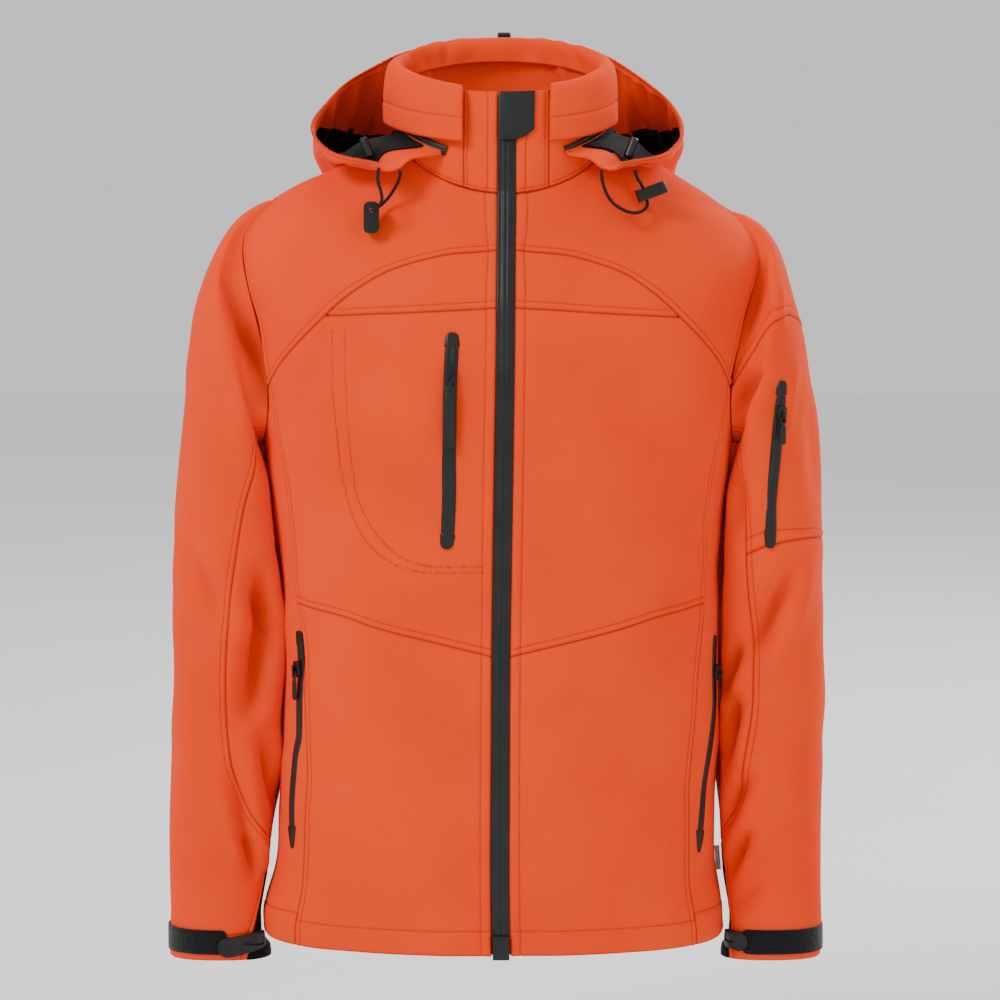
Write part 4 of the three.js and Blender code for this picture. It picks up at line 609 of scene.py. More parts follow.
# Folds of a filled garment. Each line is in its surface's own places. width and depth are in
# millimetres, and a depth below 0 makes a ridge. ridge is the share that swells beside a trough.
FOLD = ("line", "width", "depth", "ridge")
FOLD_STRENGTH = 2.2
FOLD_ROWS = {
    "torso": (torso, [
        ([(0.155, 0.982), (0.152, 0.945), (0.15, 0.9)], 8, 2.4, 0.5),
        ([(-0.165, 0.968), (-0.156, 0.93), (-0.15, 0.89)], 10, 1.3, 0.5),
        ([(0.03, 0.73), (0.08, 0.71), (0.13, 0.66)], 22, 1.2, 0.3),
        ([(-0.2, 0.42), (-0.15, 0.33), (-0.1, 0.3)], 18, 1.4, 0.3),
        ([(0.19, 0.47), (0.15, 0.36), (0.1, 0.31)], 20, 1.2, 0.3),
        ([(0.235, 0.545), (0.262, 0.5), (0.3, 0.475)], 10, 2.6, 0.4),
        ([(-0.225, 0.55), (-0.258, 0.495), (-0.29, 0.48)], 9, 3, 0.4),
        ([(0.225, 0.4), (0.26, 0.37), (0.305, 0.365)], 12, 2.2, 0.4),
        ([(-0.235, 0.36), (-0.27, 0.335), (-0.31, 0.34)], 11, 2.4, 0.4),
        ([(0.345, 0.7), (0.385, 0.63), (0.42, 0.575), (0.44, 0.53)], 13, 6, 0.4),
        ([(0.655, 0.71), (0.62, 0.65), (0.59, 0.6)], 12, 5.2, 0.4),
        ([(0.34, 0.59), (0.37, 0.52), (0.42, 0.46)], 10, 4.6, 0.4),
        ([(0.66, 0.6), (0.635, 0.55), (0.6, 0.5)], 9, 3.6, 0.4),
        ([(0.36, 0.405), (0.43, 0.378), (0.5, 0.372), (0.545, 0.38)], 11, 4.6, 0.5),
        ([(0.645, 0.44), (0.6, 0.415), (0.56, 0.41)], 9, 4.2, 0.4),
        ([(0.35, 0.28), (0.41, 0.262), (0.46, 0.268)], 12, 3.6, 0.4),
        ([(0.64, 0.3), (0.58, 0.275), (0.52, 0.29)], 10, 3.8, 0.4),
        ([(0.37, 0.17), (0.43, 0.16), (0.47, 0.17)], 12, 2.4, 0.4),
    ]),
    "sleeve_right": (sleeves["right"], [
        ([(1.1, 0.115), (0.66, 0.19), (0.38, 0.243), (0.12, 0.3)], 13, 4.6, 0.5),
        ([(0.55, 0.222), (0.24, 0.262), (0.06, 0.31), (0.04, 0.36)], 8, 4, 0.3),
        ([(5.1, 0.125), (5.5, 0.168), (5.76, 0.204), (6.05, 0.24)], 12, 4, 0.4),
        ([(4.7, 0.315), (5.43, 0.345), (6.06, 0.33), (6.67, 0.318), (7.2, 0.302)], 12, 10, 0.3),
        ([(5.2, 0.3), (5.5, 0.335), (5.7, 0.385)], 8, 5, 0.3),
        ([(7.2, 0.335), (7.75, 0.38), (8.3, 0.44)], 9, 6, 0.3),
        ([(7.75, 0.262), (8.38, 0.3), (9, 0.34), (9.5, 0.362)], 8, 4.4, 0.5),
        ([(8.75, 0.31), (9.1, 0.35), (9.5, 0.38)], 6, 3.6, 0.5),
        ([(7, 0.144), (7.9, 0.134), (8.9, 0.135)], 12, -1.8, 0),
        ([(2.2, 0.16), (2.9, 0.2), (3.4, 0.25)], 14, 2, 0.4),
        ([(4.5, 0.64), (5.1, 0.7), (5.5, 0.79)], 12, 6, 0.4),
        ([(5.6, 0.6), (6.1, 0.67), (6.4, 0.76)], 10, 6.5, 0.4),
        ([(6.7, 0.63), (7.1, 0.7), (7.3, 0.78)], 10, 5, 0.4),
        ([(8, 0.62), (8.5, 0.7), (8.7, 0.8)], 8, 4, 0.4),
        ([(1.6, 0.64), (2.4, 0.7), (3.3, 0.77)], 15, 4, 0.4),
        ([(3.1, 0.6), (3.7, 0.66), (4, 0.75)], 12, 4, 0.4),
        ([(9.3, 0.66), (9.6, 0.75), (9.6, 0.86)], 7, 2.6, 0.4),
    ]),
    "sleeve_left": (sleeves["left"], [
        ([(0.12, 0.27), (0.2, 0.2), (0.34, 0.14)], 10, 3.6, 0.4),
        ([(0.11, 0.123), (1.24, 0.151), (2.12, 0.149)], 7, -2.4, 0),
        ([(2.75, 0.112), (3, 0.165), (3.5, 0.195)], 7, -2, 0),
        ([(1.7, 0.24), (0.9, 0.3), (0.3, 0.37)], 8, 5, 0.4),
        ([(2.48, 0.37), (3.4, 0.34), (4.05, 0.345)], 9, 4, 0.4),
        ([(5.2, 0.175), (5.7, 0.225), (6.06, 0.268), (6.35, 0.315)], 11, 6, 0.4),
        ([(5.9, 0.33), (6.3, 0.37), (6.6, 0.4)], 8, 6, 0.3),
        ([(6.7, 0.335), (7.2, 0.37), (7.65, 0.4)], 10, 9, 0.3),
        ([(7.85, 0.3), (8.19, 0.35), (8.68, 0.4)], 8, 6, 0.4),
        ([(8.7, 0.31), (9.1, 0.36), (9.46, 0.41)], 7, 6.5, 0.4),
        ([(9.55, 0.26), (9.84, 0.33), (9.98, 0.41)], 8, 3.2, 0.4),
        ([(4.3, 0.61), (4.9, 0.68), (5.2, 0.78)], 11, 5, 0.4),
        ([(5.3, 0.6), (5.9, 0.69), (6.1, 0.8)], 11, 7, 0.4),
        ([(6.4, 0.61), (6.9, 0.68), (7, 0.76)], 9, 5, 0.4),
        ([(7.6, 0.64), (7.9, 0.72), (7.9, 0.82)], 9, 4.5, 0.4),
        ([(1.9, 0.66), (2.8, 0.72), (3.6, 0.8)], 14, 4, 0.4),
        ([(8.8, 0.62), (9.2, 0.7), (9.3, 0.8)], 8, 3.4, 0.4),
        ([(3.4, 0.12), (4.1, 0.09), (4.8, 0.1)], 16, 1.8, 0.3),
    ]),
    "flap": (collar_flap, [
        ([(0.69, 0.68), (0.675, 0.84), (0.66, 0.98)], 6, 1.7, 0.3),
        ([(0.655, 0.72), (0.645, 0.87), (0.635, 0.99)], 4.5, 1.4, 0.3),
        ([(0.595, 0.66), (0.612, 0.82), (0.61, 0.99)], 4.5, 1.4, 0.3),
        ([(0.583, 0.72), (0.572, 0.97)], 5, -0.8, 0),
        ([(0.41, 0.68), (0.398, 0.84), (0.385, 0.99)], 4.5, 1.3, 0.3),
        ([(0.377, 0.66), (0.355, 0.82), (0.34, 0.98)], 5, 1.6, 0.3),
        ([(0.462, 0.72), (0.45, 0.86), (0.44, 0.99)], 8, 1, 0.3),
        ([(0.8, 0.1), (0.78, 0.3)], 9, 0.7, 0.4),
        ([(0.24, 0.08), (0.22, 0.3)], 8, 0.6, 0.4),
    ]),
    "stand": (collar_stand, [
        ([(0.655, 0.97), (0.64, 0.6), (0.63, 0.35)], 5, 2, 0.5),
        ([(0.395, 0.97), (0.38, 0.6), (0.375, 0.35)], 5, 2, 0.5),
    ]),
    "hood": (hood, [
        ([(0.352, 0.99), (0.34, 0.93), (0.325, 0.84)], 6, 3, 0.5),
        ([(0.4, 0.99), (0.395, 0.92), (0.42, 0.85)], 6, 3.4, 0.5),
        ([(0.475, 0.99), (0.47, 0.9), (0.46, 0.8)], 8, 3, 0.5),
        ([(-0.32, 0.99), (-0.312, 0.91), (-0.3, 0.84)], 7, 3, 0.5),
        ([(-0.42, 0.98), (-0.41, 0.9), (-0.44, 0.8)], 7, 3, 0.5),
        ([(-0.55, 0.97), (-0.53, 0.86), (-0.55, 0.75)], 9, 2.6, 0.5),
        ([(0.6, 0.97), (0.58, 0.86), (0.6, 0.76)], 8, 2.8, 0.5),
        ([(-0.99, 0.8), (-0.9, 0.66), (-0.82, 0.6)], 7, 3, 0.6),
        ([(-0.97, 0.6), (-0.9, 0.5), (-0.8, 0.47)], 6, 2.4, 0.6),
        ([(0.99, 0.82), (0.91, 0.7), (0.82, 0.62)], 7, 3.2, 0.6),
        ([(0.97, 0.58), (0.89, 0.5), (0.8, 0.45)], 6, 2.4, 0.6),
        ([(-0.15, 0.75), (-0.05, 0.68), (0.08, 0.7)], 14, 5, 0.4),
        ([(0.25, 0.74), (0.16, 0.64), (0.05, 0.6)], 13, 4.6, 0.4),
        ([(-0.28, 0.68), (-0.18, 0.6), (-0.06, 0.56)], 13, 4.6, 0.4),
        ([(-0.1, 0.9), (0.02, 0.84), (0.14, 0.88)], 12, 3.4, 0.4),
        ([(0.46, 0.75), (0.39, 0.65), (0.32, 0.57)], 12, 4, 0.4),
        ([(-0.48, 0.75), (-0.4, 0.64), (-0.34, 0.55)], 12, 4.2, 0.4),
        ([(-0.64, 0.72), (-0.6, 0.6), (-0.56, 0.54)], 9, 2.8, 0.4),
        ([(0.68, 0.72), (0.63, 0.6), (0.59, 0.54)], 9, 2.8, 0.4),
    ]),
}


# A fold's form: how far it reaches, where its swelling lies and how wide it is, in widths of the
# trough; what is left of the swelling on the line's right side; how the ends fade; and how alike
# the normals of the cloth and the fold are at least, so that it leaves the other side alone
FOLD_POINTS = 25
FOLD_FORM = {"reach": 3.2, "swell_place": 1.9, "swell_width": 1.05, "right_swell": 0.35,
             "end_power": 0.8, "least_turn": 0.2}


class Fold:
    def __init__(self, surface, line, width, depth, ridge):
        places = smooth_line(line, FOLD_POINTS)
        self.group = surface.group
        self.points = surface.point(places[:, 0], places[:, 1])
        self.normals = normal_at(surface, places[:, 0], places[:, 1])
        self.width = width
        self.depth = FOLD_STRENGTH * depth
        self.ridge = ridge
        self.along = lengths_along(self.points)

    def height(self, points, normals):
        """Relief at points: a trough along the line and a swelling on its left side."""
        reach = FOLD_FORM["reach"] * self.width
        low = self.points.min(0) - reach
        high = self.points.max(0) + reach
        near = ((points > low) & (points < high)).all(1)
        height = np.zeros(len(points))
        if not near.any():
            return height
        here = points[near]
        starts = self.points[:-1]
        spans = self.points[1:] - starts
        away = here[:, None] - starts[None]
        share = np.clip((away * spans).sum(-1) / (spans * spans).sum(-1), 0, 1)
        apart = away - share[..., None] * spans
        distance = np.linalg.norm(apart, axis=-1)
        nearest = distance.argmin(1)
        each = np.arange(len(here))
        gap = distance[each, nearest]
        place = (self.along[nearest] + share[each, nearest]
                 * (self.along[nearest + 1] - self.along[nearest])) / self.along[-1]
        normal = self.normals[nearest]
        side = np.sign((np.cross(spans[nearest], apart[each, nearest]) * normal).sum(1))
        same_side = (normals[near] * normal).sum(1) > FOLD_FORM["least_turn"]
        taper = np.sin(math.pi * np.clip(place, 0, 1)) ** FOLD_FORM["end_power"]
        swell_gap = gap - FOLD_FORM["swell_place"] * self.width
        swell = self.ridge * bump(swell_gap, FOLD_FORM["swell_width"] * self.width)
        profile = -bump(gap, self.width) + swell * np.where(side > 0, 1, FOLD_FORM["right_swell"])
        height[near] = self.depth * taper * profile * same_side
        return height


FOLDS = [Fold(surface, **dict(zip(FOLD, row))) for surface, rows in FOLD_ROWS.values() for row in rows]

# Slow waves of the cloth, with their wavelength and height in millimetres
WAVE = ("direction", "phase", "length", "height")
WAVES = [
    ((0.9, 0.3, 0.5), 0.4, 118, 0.75),
    ((-0.5, 0.6, 0.8), 2.1, 83, 0.5),
    ((0.3, -0.4, 1.0), 4.0, 61, 0.35),
    ((1.0, 0.2, -0.6), 1.2, 44, 0.22),
]
WAVE_WARP = {"size": 0.8, "slowness": 0.37}


def relief_at(group, points, normals):
    """How far folds and waves lift a surface's points."""
    flat = points.reshape(-1, 3)
    flat_normals = normals.reshape(-1, 3)
    height = np.zeros(len(flat))
    for row in WAVES:
        wave = dict(zip(WAVE, row))
        turn = flat @ unit(np.array(wave["direction"])) * 2 * math.pi / wave["length"]
        warp = WAVE_WARP["size"] * np.sin(turn * WAVE_WARP["slowness"] + wave["phase"])
        height += wave["height"] * np.sin(turn + wave["phase"] + warp)
    for fold in FOLDS:
        if fold.group == group:
            height += fold.height(flat, flat_normals)
    return height.reshape(points.shape[:-1])


def on_cloth(surface, line):
    """Points and normals on the folded surface, at a line of places."""
    points = surface.point(line[:, 0], line[:, 1])
    normals = normal_at(surface, line[:, 0], line[:, 1])
    return points + normals * relief_at(surface.group, points, normals)[:, None], normals


# Cloth pieces

# Distances from an edge, in millimetres, where the cloth has points
EDGE_POINTS = {"bare": (0, 0.8, 1.8, 3.4, 6), "free": (0, 1.5, 4), "wide": (0, 0.8, 1.8, 3.2),
               "narrow": (0, 0.8), "narrow_most": 5}
STITCH_POINTS = {"before": 1.6, "step": 0.8, "count": 5, "after": 4, "fill": 4}


def edge_offsets(stitch):
    """Distances from an edge where the cloth needs points: close at the edge and at its topstitch."""
    if stitch is None:
        return np.array(EDGE_POINTS["bare"])
    if stitch <= 0:
        return np.array(EDGE_POINTS["free"])
    start = EDGE_POINTS["wide" if stitch > EDGE_POINTS["narrow_most"] else "narrow"]
    first = stitch - STITCH_POINTS["before"]
    fill = max(0, math.ceil((first - start[-1]) / STITCH_POINTS["fill"]) - 1)
    middle = [start[-1] + (first - start[-1]) * (k + 1) / (fill + 1) for k in range(fill)]
    close = [first + STITCH_POINTS["step"] * k for k in range(STITCH_POINTS["count"])]
    return np.array([*start, *middle, *close, stitch + STITCH_POINTS["after"]])


ENDS_SHARE = 0.8


def spaced(lengths, low, high, count):
    """Shares of each length, close together at both ends."""
    squeeze = np.minimum(1, ENDS_SHARE * lengths / (low[-1] + high[-1]))[:, None]
    start = squeeze * low
    end = lengths[:, None] - squeeze * high[::-1]
    share = np.arange(1, count) / count
    middle = start[:, -1:] + (end[:, :1] - start[:, -1:]) * share
    return np.concatenate([start, middle, end], axis=1) / lengths[:, None]


PROBES = 13

# How the cloth looks pressed, and where painted shade darkens its colour: by how deep a fold is and
# near seams and stitches. Heights, widths and lengths are in millimetres: a seam dips, its edges pucker
# in waves, and the cloth between a seam and its topstitch, the welt, stands a little.
FOLD_PAINTED_SHADE = {"most": 0.45, "from": 3, "to": 15}
PUCKER = {"length": 11, "drift": 1.7, "drift_length": 37, "reach": 9, "bare": 0.16, "stitched": 0.22}
SEAM = {"painted_shade": 0.75, "painted_shade_width": 1, "bare_width": 1.5, "width": 1.4}
WELT = {"height": 0.5, "start": 2, "end": 1.6}
STITCH_PRESS = {"depth": 0.6, "width": 1, "painted_shade": 0.4, "painted_shade_width": 0.8}


class Sheet:
    """A grid over a piece of cloth, with the distances of its points from the four edges.
    place(s, t) gives surface places for shares across and along. stitches are the topstitch
    distances of the edges low s, high s, low t and high t: None for a bare seam, 0 for a free edge."""

    def __init__(self, surface, place, stitches, step=CLOTH_STEP):
        self.surface = surface
        self.stitches = stitches
        probe = np.linspace(0, 1, PROBES)
        s, t = np.meshgrid(probe, probe, indexing="ij")
        coarse = place(s, t)
        points = surface.point(coarse[..., 0], coarse[..., 1])
        self.across = np.linalg.norm(np.diff(points, axis=0), axis=-1).sum(0)
        self.along = np.linalg.norm(np.diff(points, axis=1), axis=-1).sum(1)
        self.offsets = [edge_offsets(stitch) for stitch in stitches]
        s_ends, t_ends = self.offsets[:2], self.offsets[2:]
        s_count, t_count = [max(1, round((lengths.max() - low[-1] - high[-1]) / step))
                            for lengths, (low, high) in ((self.across, s_ends), (self.along, t_ends))]
        s_line = spaced(self.across.mean(keepdims=True), *s_ends, s_count)[0]
        t_line = spaced(self.along.mean(keepdims=True), *t_ends, t_count)[0]
        across = np.interp(t_line, probe, self.across)
        along = np.interp(s_line, probe, self.along)
        s = spaced(across, *s_ends, s_count).T
        t = spaced(along, *t_ends, t_count)
        self.from_edge = [s * across, (1 - s) * across, t * along[:, None], (1 - t) * along[:, None]]
        self.places = place(s, t)
        self.base = surface.point(self.places[..., 0], self.places[..., 1])
        du = np.gradient(self.places, axis=0)
        dv = np.gradient(self.places, axis=1)
        turning = np.sign((du[..., 0] * dv[..., 1] - du[..., 1] * dv[..., 0]).mean())
        self.outward = surface.sign * turning
        self.normals = grid_normals(self.base, self.outward)
        self.height = relief_at(surface.group, self.base, self.normals)
        # Painted shade in the troughs of deep folds
        self.painted_shade = FOLD_PAINTED_SHADE["most"] * smooth(FOLD_PAINTED_SHADE["from"], FOLD_PAINTED_SHADE["to"], -self.height)

    def area(self):
        cross = np.cross(np.gradient(self.base, axis=0), np.gradient(self.base, axis=1))
        return float(np.linalg.norm(cross, axis=-1)[:-1, :-1].sum())

    def press_edges(self):
        """Seams dip, the cloth between a seam and its topstitch stands a little, stitches press in, and
        painted shade darkens seams and stitches.
        """
        for edge, stitch in enumerate(self.stitches):
            gap = self.from_edge[edge]
            run = self.from_edge[2 if edge < 2 else 0]
            drift = PUCKER["drift"] * np.sin(run / PUCKER["drift_length"])
            pucker = np.sin(2 * math.pi * run / PUCKER["length"] + drift) * bump(gap, PUCKER["reach"])
            if stitch != 0:
                # Painted shade along each seam but a free edge
                self.painted_shade = np.maximum(self.painted_shade, SEAM["painted_shade"] * bump(gap, SEAM["painted_shade_width"]))
            if stitch is None:
                self.height += PUCKER["bare"] * pucker - bump(gap, SEAM["bare_width"])
            elif stitch > 0:
                welt = smooth(0, WELT["start"], gap) * (1 - smooth(stitch - WELT["end"], stitch, gap))
                self.height += PUCKER["stitched"] * pucker + WELT["height"] * welt - bump(gap, SEAM["width"])
                self.press_stitch(gap - stitch)

    def press_stitch(self, gap):
        self.height -= STITCH_PRESS["depth"] * bump(gap, STITCH_PRESS["width"])
        # Painted shade along the stitch
        painted_shade = STITCH_PRESS["painted_shade"] * bump(gap, STITCH_PRESS["painted_shade_width"])
        self.painted_shade = np.maximum(self.painted_shade, painted_shade)

    def outer(self):
        points = self.base + self.normals * self.height[..., None]
        for edge, stitch in enumerate(self.stitches):
            if stitch == 0:
                continue
            share = SEAM_GAP / 2 / self.offsets[edge][1]
            lines = points if edge < 2 else points.swapaxes(0, 1)
            end, near = (-1, -2) if edge % 2 else (0, 1)
            lines[end] += (lines[near] - lines[end]) * share
        return points

    def mesh(self, name, look, thickness=WALL, lift=0.0):
        outer = self.outer() + self.normals * lift
        inner = outer - self.normals * thickness
        points = np.concatenate([outer.reshape(-1, 3), inner.reshape(-1, 3)])
        painted_shade = np.concatenate([self.painted_shade.ravel(), np.zeros(self.painted_shade.size)])
        return mesh_object(name, points, shell_faces(*outer.shape[:2], self.outward), look, painted_shade)


STITCH_LINES = {"body": [], "sleeves": [], "collar": [], "hood": []}


def stitch_edges(sheet, group):
    """Keeps each topstitch's points and normals, from the grid line that lies under it."""
    points = sheet.outer()
    for edge, stitch in enumerate(sheet.stitches):
        if not stitch:
            continue
        index = int(np.argmin(np.abs(sheet.offsets[edge] - stitch)))
        if edge % 2:
            index = -1 - index
        grids = (points, sheet.normals)
        line = [grid[index] if edge < 2 else grid[:, index] for grid in grids]
        STITCH_LINES[group].append(line)


def cloth_piece(node, sheet, stitch_group, look="softshell", thickness=WALL, lift=0.0):
    """The finished piece that stands for one of the solids."""
    sheet.press_edges()
    piece = sheet.mesh(f"cloth_{node}", LOOKS[look], thickness, lift)
    flat = (sheet.across.max() * MM, sheet.along.max() * MM)
    area = min(sheet.area() * MM * MM, flat[0] * flat[1])
    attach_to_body(piece, JACKET)
    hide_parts(node)
    stitch_edges(sheet, stitch_group)
    return piece


# Seam lines on the body, as [u, v] places

DENSE_PLACES = 241


def between(rows, start, end, count):
    """Evenly spaced places along a smooth line through rows, from one row's number to another's."""
    dense = spline(np.arange(len(rows)), rows, np.linspace(start, end, DENSE_PLACES))
    steps = np.hypot(np.diff(dense[:, 0]) * ROUND_LENGTH, np.diff(dense[:, 1]) * torso.length)
    lengths = np.concatenate([[0], np.cumsum(steps)])
    return read_off(dense, lengths, line_between(0, lengths[-1], count))


def on_line(line, share):
    """Places at shares of a line of evenly spaced places."""
    return read_off(line, np.arange(len(line)), share * (len(line) - 1))


def coons(bottom, top, left, right):
    """Places inside four boundary lines of evenly spaced places."""
    def place(s, t):
        across, along = s[..., None], t[..., None]
        return ((1 - along) * on_line(bottom, s) + along * on_line(top, s)
                + (1 - across) * on_line(left, t) + across * on_line(right, t)
                - (1 - across) * (1 - along) * bottom[0] - across * (1 - along) * bottom[-1]
                - (1 - across) * along * top[0] - across * along * top[-1])
    return place


def joined(*lines):
    return np.concatenate([lines[0], *(line[1:] for line in lines[1:])])


def line_between(start, end, count):
    return np.linspace(start, end, count + 1)


def places(u, v):
    """Places from a row of values and a single one, or from two rows."""
    return np.stack(np.broadcast_arrays(np.asarray(u, float), v), -1)


def edge_u(v):
    return torso.half_zip(np.asarray(v, float), ZIP_HALF_WIDTH)


def front_edge(start, end, count):
    v = line_between(start, end, count)
    return places(edge_u(v), v)


def blunted(line, share):
    """The line without its last bit, where two seams meet in a point."""
    last = len(line) - 1
    return read_off(line, np.arange(len(line)), line_between(0, (1 - share) * last, last))


YOKE_TURN = 0.315
BACK_SEAM_TURN = 0.685
BACK_YOKE_TURN = 0.78
HORIZONTAL_V = 0.814
ARC_V = 0.91
WAIST_V = 0.364
YOKE_DIP = 0.02
SHOULDER_U = 0.25
PRINCESS_HEM_U = 0.172
BACK_HEM_U = 0.325
POINT_CUT = 0.14 / 8

# Steps along the seam lines
FINE = 8
STEPS = {name: count * FINE for name, count in {
    "front_inner": 8, "front_outer": 4, "neck": 5, "shoulder": 7, "front_armhole": 6, "yoke_front": 6,
    "crescent": 3, "waist": 12, "upper_princess": 9, "lower_princess": 8, "side": 17, "side_across": 8,
    "back_side": 2, "back_across": 12, "back_shoulder": 4, "back_armhole": 5,
}.items()}

yoke_end = armhole_place(YOKE_TURN)
arc = [[edge_u(ARC_V), ARC_V], [0.058, 0.896], [0.096, 0.861], [0.116, 0.821], [0.1345, 0.7835],
       [0.153, 0.749], [0.17, 0.716], yoke_end]
ARC_JOIN = 4
cross_seam = [[edge_u(HORIZONTAL_V), HORIZONTAL_V], [0.045, 0.809], [0.09, 0.7985], [0.1345, 0.7835]]
princess = [yoke_end, [0.181, 0.61], [0.179, 0.565], [0.181, 0.52], [0.187, 0.465], [0.187, 0.417],
            [0.183, 0.37], [0.177, 0.31], [0.174, 0.25], [0.171, 0.2], [0.171, 0.13], [0.171, 0.06],
            [PRINCESS_HEM_U, 0]]
PRINCESS_WAIST = 5
waist = [[edge_u(WAIST_V), WAIST_V], [0.049, 0.378], [0.1, 0.395], [0.135, 0.408], [0.187, 0.417]]
hem = [[edge_u(0), 0], [0.09, 0], [PRINCESS_HEM_U, 0]]
back_princess = [armhole_place(BACK_SEAM_TURN), [0.321, 0.61], [0.325, 0.52], [0.33, 0.417], [0.33, 0.31],
                 [0.328, 0.2], [0.326, 0.1], [BACK_HEM_U, 0]]


def princess_lines():
    """The front princess seam from its waist up and from the hem to its waist, both upwards."""
    upper = between(princess, 0, PRINCESS_WAIST, STEPS["upper_princess"])[::-1]
    lower = between(princess, PRINCESS_WAIST, len(princess) - 1, STEPS["lower_princess"])[::-1]
    return upper, lower


def on_side(side, place):
    def mirrored_place(s, t):
        return place(s, t) * np.array([side, 1])
    return mirrored_place


def front_pieces(side, name):
    arc_inner = between(arc, 0, ARC_JOIN, STEPS["front_inner"])
    arc_outer = between(arc, ARC_JOIN, len(arc) - 1, STEPS["front_outer"])
    neck = places(line_between(edge_u(1), SHOULDER_U, STEPS["neck"]), 1)
    shoulder = places(SHOULDER_U, line_between(1, armhole_place(0)[1], STEPS["shoulder"]))
    armhole = armhole_place(line_between(YOKE_TURN, 0, STEPS["front_armhole"]))
    yoke = coons(joined(arc_inner, arc_outer), joined(neck, shoulder),
                 front_edge(ARC_V, 1, STEPS["yoke_front"]), armhole)
    cross = between(cross_seam, 0, len(cross_seam) - 1, STEPS["front_inner"])
    low = blunted(cross, POINT_CUT)
    high = blunted(arc_inner, POINT_CUT)
    crescent = coons(low, high, front_edge(HORIZONTAL_V, ARC_V, STEPS["crescent"]),
                     line_between(low[-1], high[-1], STEPS["crescent"]))
    waist_line = between(waist, 0, len(waist) - 1, STEPS["waist"])
    upper_princess, lower_princess = princess_lines()
    chest = coons(waist_line, joined(cross, arc_outer),
                  front_edge(WAIST_V, HORIZONTAL_V, STEPS["upper_princess"]), upper_princess)
    lower = coons(between(hem, 0, len(hem) - 1, STEPS["waist"]), waist_line,
                  front_edge(0, WAIST_V, STEPS["lower_princess"]), lower_princess)
    pieces = (
        ("front_yoke", yoke, (ZIP_TOPSTITCH, ARMHOLE_TOPSTITCH, TOPSTITCH, None), CLOTH_STEP),
        ("front_crescent", crescent, (ZIP_TOPSTITCH, None, TOPSTITCH, None), CLOTH_STEP),
        ("front_chest", chest, (ZIP_TOPSTITCH, TOPSTITCH, TOPSTITCH, None), CHEST_STEP[name]),
        ("front_lower", lower, (ZIP_TOPSTITCH, TOPSTITCH, HEM_TOPSTITCH, None), CLOTH_STEP),
    )
    for label, place, stitches, step in pieces:
        sheet = Sheet(torso, on_side(side, place), stitches, step)
        if (label, name) == POCKET_BAG["panel"]:
            stitch_pocket_bag(sheet, side)
        cloth_piece(f"{label}_{name}", sheet, "body")


# The chest panel with the pocket needs closer points, for the pocket bag's two stitched lines
CHEST_STEP = {"right": 2.2, "left": CLOTH_STEP}
POCKET_BAG_POINTS = 160
POCKET_BAG_SUNK = 0.2
SEARCH_PARTS = 8
POCKET_BAG = {
    "panel": ("front_chest", "right"),
    "lines": (
        [(0.119, 0.771), (0.115, 0.656), (0.114, 0.591), (0.11, 0.546), (0.092, 0.498), (0.065, 0.475),
         (0.0135, 0.473)],
        [(0.129, 0.768), (0.125, 0.654), (0.123, 0.59), (0.118, 0.539), (0.103, 0.494), (0.073, 0.468),
         (0.0135, 0.466)],
    ),
}


def stitch_pocket_bag(sheet, side):
    for line in POCKET_BAG["lines"]:
        spots = smooth_line(line, POCKET_BAG_POINTS) * [side, 1]
        points, normals = on_cloth(torso, spots)
        starts = torso.point(spots[:, 0], spots[:, 1])
        flat = sheet.base.reshape(-1, 1, 3)
        gap = np.concatenate([np.linalg.norm(part - starts[None], axis=-1).min(1)
                              for part in np.array_split(flat, SEARCH_PARTS)])
        sheet.press_stitch(gap.reshape(sheet.height.shape))
        STITCH_LINES["body"].append((points - normals * POCKET_BAG_SUNK, normals))


def back_princess_line():
    return between(back_princess, 0, len(back_princess) - 1, STEPS["side"])[::-1]


def side_piece(side, name):
    upper, lower = princess_lines()
    hem_line = places(line_between(PRINCESS_HEM_U, BACK_HEM_U, STEPS["side_across"]), 0)
    armhole = armhole_place(line_between(YOKE_TURN, BACK_SEAM_TURN, STEPS["side_across"]))
    place = coons(hem_line, armhole, joined(lower, upper), back_princess_line())
    sheet = Sheet(torso, on_side(side, place), (None, None, HEM_TOPSTITCH, None))
    cloth_piece(f"side_panel_{name}", sheet, "body")


def mirrored(line):
    return line * [-1, 1] + [1, 0]


def back_pieces():
    armhole = armhole_place(line_between(BACK_SEAM_TURN, BACK_YOKE_TURN, STEPS["back_side"]))
    side_line = joined(back_princess_line(), armhole)
    yoke_u, yoke_v = armhole_place(BACK_YOKE_TURN)
    u = line_between(yoke_u, 1 - yoke_u, STEPS["back_across"])
    dip = np.sin(math.pi * (u - yoke_u) / (1 - 2 * yoke_u))
    yoke_line = places(u, yoke_v + YOKE_DIP * dip)
    hem_line = places(line_between(BACK_HEM_U, 1 - BACK_HEM_U, STEPS["back_across"]), 0)
    lower = coons(hem_line, yoke_line, side_line, mirrored(side_line))
    cloth_piece("back_lower", Sheet(torso, lower, (TOPSTITCH, TOPSTITCH, HEM_TOPSTITCH, None)), "body")
    shoulder = places(SHOULDER_U, line_between(armhole_place(0)[1], 1, STEPS["back_shoulder"]))
    neck = places(line_between(SHOULDER_U, 1 - SHOULDER_U, STEPS["back_shoulder"]), 1)
    top = joined(shoulder, neck, mirrored(shoulder)[::-1])
    arm_side = armhole_place(line_between(BACK_YOKE_TURN, 1, STEPS["back_armhole"]))
    yoke = coons(yoke_line, top, arm_side, mirrored(arm_side))
    cloth_piece("back_yoke", Sheet(torso, yoke, (None, None, TOPSTITCH, None)), "body")


# Sleeves

